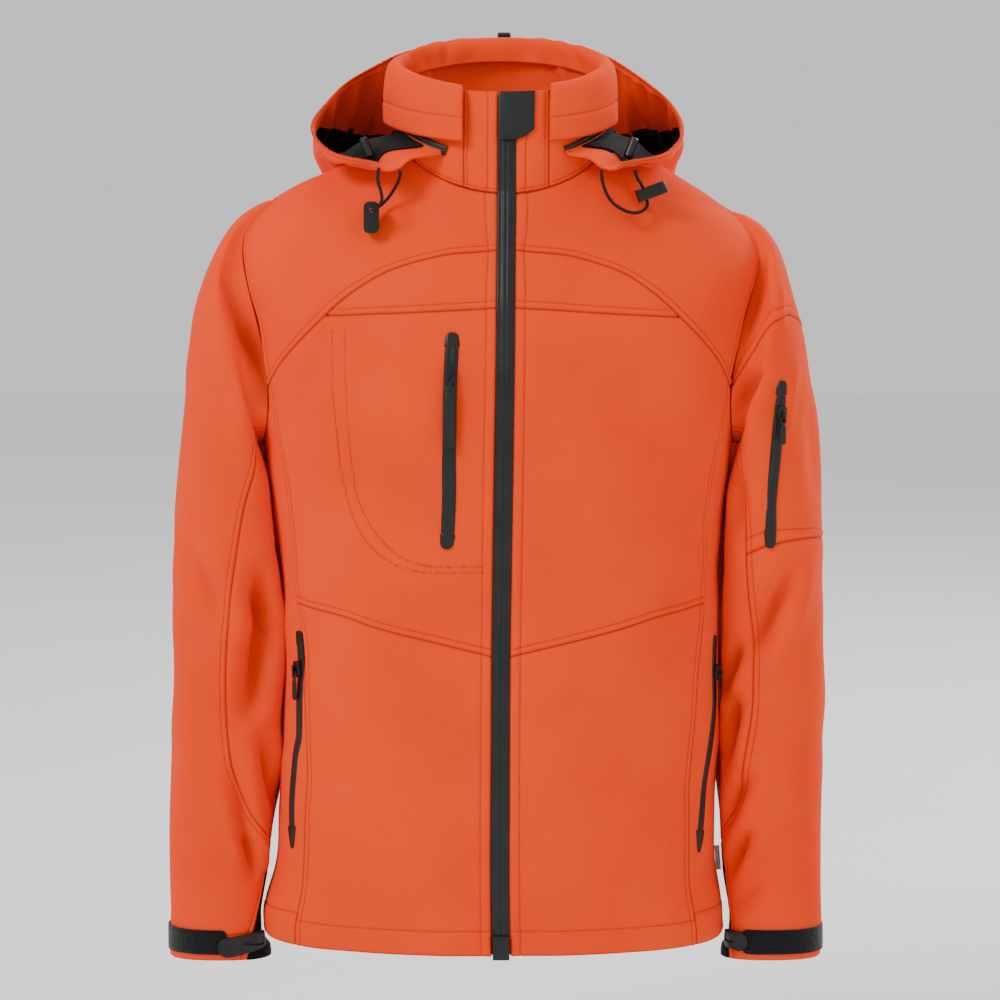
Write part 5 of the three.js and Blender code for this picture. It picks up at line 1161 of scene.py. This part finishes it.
SEAM_TURN = YOKE_TURN + 2 * (BACK_SEAM_TURN - YOKE_TURN) / 8
FRONT_SEAMS = {
    "right": [(0, SEAM_TURN), (1, 0.385), (2, 0.35), (3, 0.322), (4, 0.285), (5, 0.262), (6, 0.245),
              (7, 0.243), (7.75, 0.263), (8.1, 0.292), (8.5, 0.338), (8.8, 0.39), (9, 0.44)],
    "left": [(0, SEAM_TURN), (1, 0.395), (2, 0.37), (3, 0.345), (4, 0.319), (5, 0.311), (6, 0.295),
             (7, 0.295), (7.5, 0.312), (8, 0.341), (8.4, 0.385), (8.7, 0.425), (9, 0.45)],
}
GUSSET_EDGES = {
    "right": [(9, 0.44), (9.7, 0.415), (10.4, 0.375), (11, 0.337)],
    "left": [(9, 0.45), (9.7, 0.438), (10.4, 0.42), (11, 0.4)],
}
CAP = {"deepest": 2.65, "turn": YOKE_TURN, "curve": 1.7}
LOWER_SEAM = {"ring": 5.35, "rise": 0.4}
CUFF_TOPSTITCH = 26


def seam_turn(rows, ring):
    rows = np.array(rows)
    return spline(rows[:, 0], rows[:, 1], ring)[..., 0]


def sleeve_edge_turn(name, ring):
    upper = seam_turn(FRONT_SEAMS[name], np.minimum(ring, GUSSET_RING))
    return np.where(ring <= GUSSET_RING, upper, seam_turn(GUSSET_EDGES[name], np.maximum(ring, GUSSET_RING)))


def outer_place(name, top, bottom, start=-SEAM_TURN, end=SEAM_TURN):
    """Places of an outer sleeve part between two cross lines, given as rings for a turn."""
    def place(s, t):
        turn = start + (end - start) * s
        ring = top(turn) + (bottom(turn) - top(turn)) * t
        return np.stack([ring, turn * sleeve_edge_turn(name, ring) / SEAM_TURN], -1)
    return place


def under_place(name, top, bottom):
    def place(s, t):
        ring = top + (bottom - top) * t
        edge = sleeve_edge_turn(name, ring)
        return np.stack([ring, edge + (1 - 2 * edge) * s], -1)
    return place


def cap_ring(turn):
    share = np.minimum(1, np.abs(turn) / CAP["turn"])
    return CAP["deepest"] * (1 - share ** CAP["curve"])


def lower_ring(turn):
    return LOWER_SEAM["ring"] - LOWER_SEAM["rise"] * (1 - np.cos(2 * math.pi * turn))


def level(ring):
    return lambda turn: np.full_like(turn, ring)


CAP_END = 0.985 * CAP["turn"]
BARE_SEAMS = (None, None, None, None)


def sleeve_pieces():
    for name, surface in sleeves.items():
        under = Sheet(surface, under_place(name, 0, GUSSET_RING), BARE_SEAMS)
        cloth_piece(f"sleeve_under_{name}", under, "sleeves")
        gusset = Sheet(surface, under_place(name, GUSSET_RING, CUFF_RING), (None, None, None, 0))
        cloth_piece(f"sleeve_gusset_{name}", gusset, "sleeves", "stretch_black")
    parts = (
        ("sleeve_outer", "right", outer_place("right", level(0), level(CUFF_RING)),
         (None, TOPSTITCH, None, CUFF_TOPSTITCH)),
        ("sleeve_cap", "left", outer_place("left", level(0), cap_ring, -CAP_END, CAP_END),
         (None, None, None, ARMHOLE_TOPSTITCH)),
        ("sleeve_middle", "left", outer_place("left", cap_ring, lower_ring),
         (None, TOPSTITCH, None, ARMHOLE_TOPSTITCH)),
        ("sleeve_forearm", "left", outer_place("left", lower_ring, level(CUFF_RING)),
         (None, TOPSTITCH, None, CUFF_TOPSTITCH)),
    )
    for label, name, place, stitches in parts:
        cloth_piece(f"{label}_{name}", Sheet(sleeves[name], place, stitches), "sleeves")


# Collar and hood

FLAP_END = 40
STAND_FOOT = 0.006
STAND_TOP = 0.92
FLAP_TOPSTITCH = 22
COLLAR_STEP = 5


def ring_place(loft, low, high):
    def place(s, t):
        v = low + (high - low) * t
        start = loft.half_zip(v, FLAP_END)
        return np.stack([start + (1 - 2 * start) * s, v], -1)
    return place


def collar_front_place(side):
    def place(s, t):
        v = STAND_FOOT + (1 - STAND_FOOT) * t
        start = collar_stand.half_zip(v, ZIP_HALF_WIDTH)
        end = collar_stand.half_zip(v, FLAP_END)
        return np.stack([side * (start + (end - start) * s), v], -1)
    return place


def collar_pieces():
    front_stitches = (ZIP_TOPSTITCH, NECK_TOPSTITCH, NECK_TOPSTITCH, 0)
    for node, surface, place, stitches in (
        ("collar_stand", collar_stand, ring_place(collar_stand, STAND_FOOT, STAND_TOP),
         (None, None, NECK_TOPSTITCH, 0)),
        ("collar_flap", collar_flap, ring_place(collar_flap, 0, 1), (None, None, FLAP_TOPSTITCH, 0)),
        ("collar_front_right", collar_stand, collar_front_place(-1), front_stitches),
        ("collar_front_left", collar_stand, collar_front_place(1), front_stitches),
    ):
        cloth_piece(node, Sheet(surface, place, stitches, COLLAR_STEP), "collar")


HOOD_SPLIT = 0.32
HOOD_STEP = 5
FREE_EDGES = (0, 0, 0, 0)
LINING = {"first_row": 1, "last_row": 6, "end": (1 - HOOD_SPLIT) / 9, "apart": 0.8, "thickness": 0.8,
          "step": 7}

# The cloth's black backing shows inside the hood, as far as the facing along its edge
BACKING = {"across": 0.92, "rows": 0.86}


def show_backing(piece, sheet):
    """The inner faces behind the facing take the lining's look."""
    across, rows = np.moveaxis(sheet.places[:-1, :-1], -1, 0)
    inside = (np.abs(across) < BACKING["across"]) & (rows < BACKING["rows"])
    looks = np.zeros(len(piece.data.polygons), np.int32)
    looks[inside.size:2 * inside.size] = inside.ravel()
    piece.data.materials.append(LOOKS["lining"])
    piece.data.polygons.foreach_set("material_index", looks)


def hood_place(start, end, low=0.0, high=1.0):
    def place(s, t):
        return np.stack([start + (end - start) * s, low + (high - low) * t], -1)
    return place


def hood_pieces():
    for node, start, end, stitches in (
        ("hood_side_right", -1, -HOOD_SPLIT, (0, None, 0, TOPSTITCH)),
        ("hood_centre", -HOOD_SPLIT, HOOD_SPLIT, (TOPSTITCH, TOPSTITCH, 0, TOPSTITCH)),
        ("hood_side_left", HOOD_SPLIT, 1, (None, 0, 0, TOPSTITCH)),
    ):
        sheet = Sheet(hood, hood_place(start, end), stitches, HOOD_STEP)
        show_backing(cloth_piece(node, sheet, "hood"), sheet)
    low, high = (LINING[key] / HOOD_ROWS for key in ("first_row", "last_row"))
    place = hood_place(-1 + LINING["end"], 1 - LINING["end"], low, high)
    lining = Sheet(hood, place, FREE_EDGES, LINING["step"])
    cloth_piece("hood_lining", lining, "hood", "lining", LINING["thickness"], -WALL - LINING["apart"])


# Stitches: short threads along each topstitch, one mesh for each group

STITCH = {"pitch": 2.9, "length": 2.3, "half_width": 0.28, "height": 0.34, "sunk": 0.12,
          "rings_at": (0.22, 0.78)}


def stitch_line(points, normals):
    """Eight corners for each thread: its start, two rings of three and its end."""
    lengths = lengths_along(points)
    count = int(lengths[-1] / STITCH["pitch"])
    middle = (np.arange(count) + 0.5) * STITCH["pitch"]
    half = STITCH["length"] / 2
    start = read_off(points, lengths, middle - half)
    end = read_off(points, lengths, middle + half)
    normal = unit(read_off(normals, lengths, middle))
    side = np.cross(unit(end - start), normal) * STITCH["half_width"]
    low = -normal * STITCH["sunk"]
    high = normal * STITCH["height"]
    rings = []
    for share in STITCH["rings_at"]:
        spot = start + (end - start) * share
        rings += [spot + side + low, spot + high, spot - side + low]
    return np.stack([start + low, *rings, end + low], 1)


# Wound to face outwards
STITCH_FACES = np.array([
    (1, 2, 0), (2, 3, 0), (3, 1, 0), (5, 2, 1), (4, 5, 1), (6, 3, 2), (5, 6, 2), (4, 1, 3), (6, 4, 3),
    (5, 4, 7), (6, 5, 7), (4, 6, 7),
])


def stitch_pieces():
    for group, lines in STITCH_LINES.items():
        corners = np.concatenate([stitch_line(points, normals) for points, normals in lines])
        faces = STITCH_FACES + corners.shape[1] * np.arange(len(corners))[:, None, None]
        piece = mesh_object(f"stitching_{group}", corners.reshape(-1, 3), faces.reshape(-1, 3),
                            LOOKS["thread"])
        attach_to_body(piece, JACKET)


# Strips that lie on the cloth: zips, cuff bands and cuff tabs

DENSE_PER_PLACE = 40
LEAST_STEPS = 8


def centre_line(surface, line, step):
    """Evenly spaced points and normals over the folded cloth, along a smooth line of places."""
    points, normals = on_cloth(surface, smooth_line(line, DENSE_PER_PLACE * len(line)))
    return resampled(points, normals, step)


def resampled(points, normals, step):
    lengths = lengths_along(points)
    target = line_between(0, lengths[-1], max(LEAST_STEPS, round(lengths[-1] / step)))
    return read_off(points, lengths, target), unit(read_off(normals, lengths, target)), target


def strip_piece(name, centre, half_width, shares, relief, thickness, look):
    """A closed strip. relief(across, along) is its top's height over the line, in millimetres."""
    points, normals, along = centre
    side = unit(np.cross(unit(np.gradient(points, axis=0)), normals))
    across = np.asarray(shares)[:, None] * half_width
    height = relief(across, np.broadcast_to(along, across.shape))
    outer = points + side * across[..., None] + normals * height[..., None]
    inner = outer - normals * thickness
    both = np.concatenate([outer.reshape(-1, 3), inner.reshape(-1, 3)])
    return mesh_object(name, both, shell_faces(*across.shape, 1), LOOKS[look])


def stands_for(piece, *nodes, body=JACKET):
    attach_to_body(piece, body)
    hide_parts(*nodes)
    return piece


# The main zip's tape runs on under the cloth's two edges
MAIN_ZIP = {"half": 11, "tape": -0.6, "under": -2.6, "under_from": 8.2, "under_to": 8.9,
            "coil": 1.1, "coil_from": 3.4, "coil_to": 4.2, "gap_depth": 0.7, "gap_width": 0.45,
            "line_step": 4, "step": 0.55, "thickness": 1.1}
MAIN_ZIP_LINES = ((torso, [(0, 0.002), (0, 0.25), (0, 0.5), (0, 0.75), (0, 0.985)]),
                  (collar_stand, [(0, 0.03), (0, 0.35), (0, 0.65), (0, 0.97)]))
MAIN_ZIP_ACROSS = (0, 0.35, 0.8, 1.8, 3, 3.7, 4.2, 5.4, 7, 8.2, 8.9, 11)
RIB = {"pitch": 1.7, "slant": 0.7, "height": 0.13}


def ribs(across, along):
    return RIB["height"] * np.sin(2 * math.pi * (along + RIB["slant"] * np.abs(across)) / RIB["pitch"])


def both_sides(values):
    return np.array([-value for value in values[:0:-1]] + list(values), float)


def main_zip():
    def relief(across, along):
        x = np.abs(across)
        coil = 1 - smooth(MAIN_ZIP["coil_from"], MAIN_ZIP["coil_to"], x)
        under = smooth(MAIN_ZIP["under_from"], MAIN_ZIP["under_to"], x)
        tape = MAIN_ZIP["tape"] + (MAIN_ZIP["under"] - MAIN_ZIP["tape"]) * under
        gap = MAIN_ZIP["gap_depth"] * bump(x, MAIN_ZIP["gap_width"])
        return tape + coil * (MAIN_ZIP["coil"] + ribs(across, along)) - gap

    parts = [centre_line(surface, line, MAIN_ZIP["line_step"]) for surface, line in MAIN_ZIP_LINES]
    points, normals = (np.concatenate([part[index] for part in parts]) for index in (0, 1))
    centre = resampled(points, normals, MAIN_ZIP["step"])
    shares = both_sides(MAIN_ZIP_ACROSS) / MAIN_ZIP["half"]
    half = np.full(len(centre[2]), float(MAIN_ZIP["half"]))
    piece = strip_piece("main_zip", centre, half, shares, relief, MAIN_ZIP["thickness"], "zip_black")
    stands_for(piece, "zip_tape", "zip_teeth")


# Pocket zips, from the top down: a welded strip with a centre line and a pointed cap at each end
POCKET_ZIP = ("node", "surface", "line", "width", "last_cap")
POCKET_ZIPS = (
    ("zip_chest", torso, [(-0.039, 0.779), (-0.04, 0.7), (-0.04, 0.62), (-0.042, 0.52), (-0.044, 0.495)], 13,
     "blunt"),
    ("zip_sleeve", sleeves["left"],
     [(2.6, 0.183), (3, 0.205), (3.5, 0.223), (4.1, 0.244), (4.5, 0.247), (4.8, 0.249)], 11, "blunt"),
    ("zip_hand_right", torso,
     [(-0.188, 0.382), (-0.185, 0.347), (-0.183, 0.3), (-0.184, 0.256), (-0.19, 0.227), (-0.19, 0.182),
      (-0.189, 0.145), (-0.186, 0.117)], 9, "pointed"),
    ("zip_hand_left", torso,
     [(0.207, 0.373), (0.208, 0.313), (0.206, 0.274), (0.198, 0.225), (0.192, 0.173), (0.187, 0.141),
      (0.184, 0.112)], 9, "pointed"),
)
CAP_SHAPES = {
    "blunt": ((0, 0.45), (1, 0.7), (3, 0.9), (6, 1), (11, 1.1), (13, 1.1), (14, 1)),
    "pointed": ((0, 0.2), (2, 0.5), (9, 0.95), (17, 1.4), (20, 1.5), (21.5, 1)),
}
CAP_END_GROOVE = {"depth": 0.8, "width": 0.6}
POCKET_ZIP_ACROSS = (0, 0.08, 0.2, 0.5, 0.8, 0.88, 0.96, 1)
POCKET_STRIP = {"step": 0.6, "height": 1.5, "thickness": 1.6, "edge_from": 0.82, "edge_sunk": 0.2,
                "groove": 0.7, "groove_width": 0.5, "cap": 0.25}


def pocket_zips():
    for row in POCKET_ZIPS:
        zipper = dict(zip(POCKET_ZIP, row))
        centre = centre_line(zipper["surface"], zipper["line"], POCKET_STRIP["step"])
        along = centre[2]
        first = np.array(CAP_SHAPES["blunt"])
        last = np.array(CAP_SHAPES[zipper["last_cap"]])
        left = along[-1] - along
        half = zipper["width"] / 2 * np.interp(along, *first.T) * np.interp(left, *last.T)
        is_cap = (along < first[-1, 0]) | (left < last[-1, 0])
        cap_edge = (bump(along - first[-1, 0], CAP_END_GROOVE["width"])
                    + bump(left - last[-1, 0], CAP_END_GROOVE["width"]))

        def relief(across, place):
            edge = smooth(POCKET_STRIP["edge_from"], 1, np.abs(across) / half)
            groove = POCKET_STRIP["groove"] * bump(across, POCKET_STRIP["groove_width"])
            fine = np.where(is_cap, POCKET_STRIP["cap"], ribs(across, place)) * (1 - edge)
            fine = fine - CAP_END_GROOVE["depth"] * cap_edge
            top = POCKET_STRIP["height"] * (1 - edge) - POCKET_STRIP["edge_sunk"] * edge
            return top + fine - np.where(is_cap, 0, groove)
        piece = strip_piece(f"strip_{zipper['node']}", centre, half, both_sides(POCKET_ZIP_ACROSS), relief,
                            POCKET_STRIP["thickness"], "zip_black")
        stands_for(piece, zipper["node"])


# Cuffs: a hook band round the outside and a moulded tab beside it
CUFF = ("name", "band_from", "band_to", "tab_from", "tab_to", "tab_from_ring", "tab_to_ring")
CUFFS = (
    ("right", -0.3, 0.278, 0.25, 0.415, 10.76, 10.58),
    ("left", -0.3, 0.352, 0.33, 0.44, 10.64, 10.6),
)
CUFF_LINE_PLACES = {"band": 9, "tab": 7}
BAND = {"ring": 10.635, "half": 12, "corner": 5, "height": 2.1, "thickness": 1.4, "step": 2, "columns": 33,
        "border": 1.8, "border_depth": 0.4, "edge_depth": 0.5, "line_width": 0.6}
TAB = {"half": 9.5, "narrow": 0.86, "height": 5, "thickness": 2.7, "crown": 0.7, "step": 0.5, "columns": 41}
TAB_OUTLINE = {"narrow_from": 0.3, "round_share": 0.97, "end_length": 4, "end_share": 0.7}
DISH = {"radius": 7.2, "depth": 0.5, "slope": 1.2, "rim": 0.8, "rim_width": 0.6}
WEDGE = {"start": 0.48, "end": 0.92, "depth": 1.6, "start_y": 1.5, "drift": 3, "widening": 4.2,
         "edge_out": 0.8, "edge_in": -0.6, "start_fade": 0.08, "end_fade": (0.93, 0.97)}


def rounded_half(along, half, corner):
    inside = np.clip(np.minimum(along, along[-1] - along) / corner, 0, 1)
    return half - corner * (1 - np.sqrt(np.clip(1 - (1 - inside) ** 2, 0, 1)))


def cuff_bands_and_tabs():
    for row in CUFFS:
        cuff = dict(zip(CUFF, row))
        surface = sleeves[cuff["name"]]
        turns = np.linspace(cuff["band_from"], cuff["band_to"], CUFF_LINE_PLACES["band"])
        centre = centre_line(surface, [(BAND["ring"], turn) for turn in turns], BAND["step"])
        half = rounded_half(centre[2], BAND["half"], BAND["corner"])

        def band_relief(across, along):
            from_edge = half - np.abs(across)
            border = BAND["border_depth"] * bump(from_edge - BAND["border"], BAND["line_width"])
            return BAND["height"] - border - BAND["edge_depth"] * bump(from_edge, BAND["line_width"])
        piece = strip_piece(f"hook_band_{cuff['name']}", centre, half, np.linspace(-1, 1, BAND["columns"]),
                            band_relief, BAND["thickness"], "hook_band")
        stands_for(piece, f"cuff_band_{cuff['name']}")

        rings = np.linspace(cuff["tab_from_ring"], cuff["tab_to_ring"], CUFF_LINE_PLACES["tab"])
        turns = np.linspace(cuff["tab_from"], cuff["tab_to"], CUFF_LINE_PLACES["tab"])
        centre = centre_line(surface, list(zip(rings, turns)), TAB["step"])
        share = centre[2] / centre[2][-1]
        tab_half = TAB["half"] * np.interp(share, (0, TAB_OUTLINE["narrow_from"], 1), (1, 1, TAB["narrow"]))
        start = np.clip(centre[2] / TAB["half"], 0, 1)
        end = np.clip((centre[2][-1] - centre[2]) / TAB_OUTLINE["end_length"], 0, 1)
        least = TAB_OUTLINE["end_share"]
        tab_half = tab_half * np.sqrt(1 - (1 - start) ** 2 * TAB_OUTLINE["round_share"])
        tab_half = tab_half * (least + (1 - least) * np.sqrt(1 - (1 - end) ** 2))

        def tab_relief(across, along):
            place = along / along[0, -1]
            from_centre = np.hypot(across, along - TAB["half"])
            dish = DISH["depth"] * (1 - smooth(DISH["radius"] - DISH["slope"], DISH["radius"], from_centre))
            rim = DISH["rim"] * bump(from_centre - DISH["radius"], DISH["rim_width"])
            opened = np.clip((place - WEDGE["start"]) / (WEDGE["end"] - WEDGE["start"]), 0, 1)
            from_middle = np.abs(across + WEDGE["start_y"] - WEDGE["drift"] * opened)
            inside = smooth(WEDGE["edge_out"], WEDGE["edge_in"], from_middle - WEDGE["widening"] * opened)
            fade = smooth(0, WEDGE["start_fade"], opened)
            wedge = WEDGE["depth"] * inside * fade * (1 - smooth(*WEDGE["end_fade"], place))
            crown = TAB["crown"] * (across / TAB["half"]) ** 2
            return TAB["height"] - dish - rim - wedge - crown
        piece = strip_piece(f"tab_{cuff['name']}", centre, tab_half, np.linspace(-1, 1, TAB["columns"]),
                            tab_relief, TAB["thickness"], "moulded_rubber")
        stands_for(piece, f"cuff_tab_{cuff['name']}")


HOOD_STRIP = {"places": 15, "step": 1, "tape": 0.4, "coil": 0.4, "coil_width": 2, "groove": 0.5,
              "groove_width": 0.4}
HOOD_STRIP_ACROSS = (0, 0.08, 0.2, 0.45, 0.7, 1)


def hood_zip():
    around = np.linspace(HOOD_ZIP["end"], 1 - HOOD_ZIP["end"], HOOD_STRIP["places"])
    centre = centre_line(collar_stand, [(u, HOOD_ZIP["height"]) for u in around], HOOD_STRIP["step"])
    half = np.full(len(centre[2]), HOOD_ZIP["width"] / 2)

    def relief(across, along):
        tape = HOOD_ZIP["lift"] + HOOD_ZIP["thickness"] - HOOD_STRIP["tape"]
        coil = HOOD_STRIP["coil"] * bump(across, HOOD_STRIP["coil_width"])
        groove = HOOD_STRIP["groove"] * bump(across, HOOD_STRIP["groove_width"])
        return tape + coil - groove + ribs(across, along)
    piece = strip_piece("hood_zip_strip", centre, half, both_sides(HOOD_STRIP_ACROSS), relief,
                        HOOD_ZIP["thickness"], "zip_black")
    stands_for(piece, "hood_zip")


# Hard pieces: the solids' own forms with rounded edges
EDGE = {"round": 0.25, "round_toggle": 1.6, "round_label": 0.12, "segments": 3, "profile": 0.5, "merge": 1e-6}
ANGLES = {"sharp": math.radians(28), "flat": math.radians(2), "shaded_sharp": math.radians(40)}
HARD_NODES = {
    "hardware_black": ("zip_box", "slider_chest", "slider_sleeve", "slider_hand_right", "slider_hand_left",
                       "cord_lock_right", "cord_lock_left", "hood_rear_toggle"),
    "moulded_rubber": ("zip_garage",),
    "cord_black": ("hood_rear_tab",),
    "label": ("side_label",),
}
PULLS = ("chest", "sleeve", "hand_right", "hand_left")


def rounded_copy(node, look, body=JACKET, edge_round=EDGE["round"]):
    made = bmesh.new()
    made.from_mesh(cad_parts[node].data)
    bmesh.ops.remove_doubles(made, verts=made.verts, dist=EDGE["merge"])
    bmesh.ops.dissolve_limit(made, angle_limit=ANGLES["flat"], verts=made.verts, edges=made.edges)
    sharp = [edge for edge in made.edges if edge.is_manifold and edge.calc_face_angle() > ANGLES["sharp"]]
    bmesh.ops.bevel(made, geom=sharp, offset=edge_round * MM, offset_type="OFFSET", affect="EDGES",
                    segments=EDGE["segments"], profile=EDGE["profile"], clamp_overlap=True)
    mesh = bpy.data.meshes.new(f"{node}_finished")
    made.to_mesh(mesh)
    made.free()
    mesh.shade_smooth()
    mesh.set_sharp_from_angle(angle=ANGLES["shaded_sharp"])
    mesh.materials.append(LOOKS[look])
    return stands_for(add_object(f"{node}_finished", mesh), node, body=body)


def hard_pieces():
    for look, nodes in HARD_NODES.items():
        for node in nodes:
            rounded_copy(node, look, edge_round=EDGE["round_label"] if look == "label" else EDGE["round"])
    for name in PULLS:
        rounded_copy(f"pull_{name}", "moulded_rubber", f"{name}_pull")


# Cords, through their toggles, along the solids' own routes

CORD_DIAMETER = 3
CORD_ROUTES = {
    "right": [(-114, -91, -26.5), (-115, -93, -32), (-114.5, -96, -39), (-112, -98, -47), (-111, -100, -55),
              (-114, -102, -61), (-119, -100, -64), (-121, -94, -65), (-121, -88, -65), (-121, -82, -65),
              (-118, -77.5, -64), (-112, -76, -60), (-106, -77.5, -54), (-101, -81, -47), (-97, -85.5, -40),
              (-94.8, -89, -34), (-94.5, -90.5, -28.5)],
    "left": [(90, -91, -28.3), (90, -92.5, -33), (91, -94, -39), (93, -95, -46), (96.5, -95, -53),
             (101.5, -94, -59), (108, -91, -63.5), (115, -87, -66.5), (122, -81.5, -67.5),
             (129, -75.5, -65.5), (133, -71, -60.5), (132.2, -69.2, -55),
             (130.6, -69, -50.5), (129, -69.2, -46), (127, -71, -41),
             (124, -74, -37), (122, -76, -32), (121, -76.5, -28.5)],
}
CORD_POINTS = 90
CORD_ROUNDNESS = 4


def cord_pieces():
    for name, route in CORD_ROUTES.items():
        knots = lengths_along(np.array(route, float))
        points = spline(knots, route, np.linspace(0, knots[-1], CORD_POINTS)) * MM
        curve = bpy.data.curves.new(f"cord_{name}_loop", "CURVE")
        curve.dimensions = "3D"
        curve.bevel_depth = CORD_DIAMETER / 2 * MM
        curve.bevel_resolution = CORD_ROUNDNESS
        curve.use_fill_caps = True
        line = curve.splines.new("POLY")
        line.points.add(CORD_POINTS - 1)
        line.points.foreach_set("co", np.concatenate([points, np.ones((CORD_POINTS, 1))], 1).ravel())
        curve.materials.append(LOOKS["cord_black"])
        piece = add_object(f"cord_{name}_loop", curve)
        stands_for(piece, f"cord_{name}")
        toggle = rounded_copy(f"toggle_{name}", "hardware_black", edge_round=EDGE["round_toggle"])
        tuple(points[0])


# Floor, lights and background

FLOOR = {"z": -960, "half": 9000, "dark": (0.9, 0.9, 0.9, 1), "pale": (0.93, 0.93, 0.93, 1)}
LIGHTS = {
    "key": ((-2.8, -2.4, 2.6), 1.4, 118),
    "fill": ((2.6, -2.6, 1.0), 3.0, 18),
    "top": ((0.0, 0.8, 3.0), 2.0, 30),
    "back": ((2.6, 2.4, 1.8), 1.4, 100),
}
LIGHTS_AIM = (0, 0, -0.35)
WORLD_STRENGTH = 0.8


def make_stage():
    half = FLOOR["half"]
    corners = np.array([(-half, -half, FLOOR["z"]), (half, -half, FLOOR["z"]),
                        (half, half, FLOOR["z"]), (-half, half, FLOOR["z"])], float)
    look = Look("pale_floor", Roughness=0.9, Specular_IOR_Level=0.1)
    look.colour(look.ramp(look.noise(2, 2), FLOOR["dark"], FLOOR["pale"]))
    mesh_object("floor", corners, np.array([(0, 1, 2, 3)]), look.material)
    for name, (place, size, power) in LIGHTS.items():
        data = bpy.data.lights.new(name, "AREA")
        data.size = size
        data.energy = power
        light = add_object(name, data)
        light.location = place
        light.rotation_euler = (Vector(LIGHTS_AIM) - light.location).to_track_quat("-Z", "Y").to_euler()
    world = bpy.data.worlds.new("studio")
    world.use_nodes = True
    background = world.node_tree.nodes["Background"]
    background.inputs["Color"].default_value = (1, 1, 1, 1)
    background.inputs["Strength"].default_value = WORLD_STRENGTH
    bpy.context.scene.world = world


make_camera()
LOOKS = make_looks()
cord_pieces()
for side_sign, side_name in ((-1, "right"), (1, "left")):
    front_pieces(side_sign, side_name)
    side_piece(side_sign, side_name)
back_pieces()
sleeve_pieces()
collar_pieces()
hood_pieces()
stitch_pieces()
main_zip()
pocket_zips()
cuff_bands_and_tabs()
hood_zip()
hard_pieces()
make_stage()
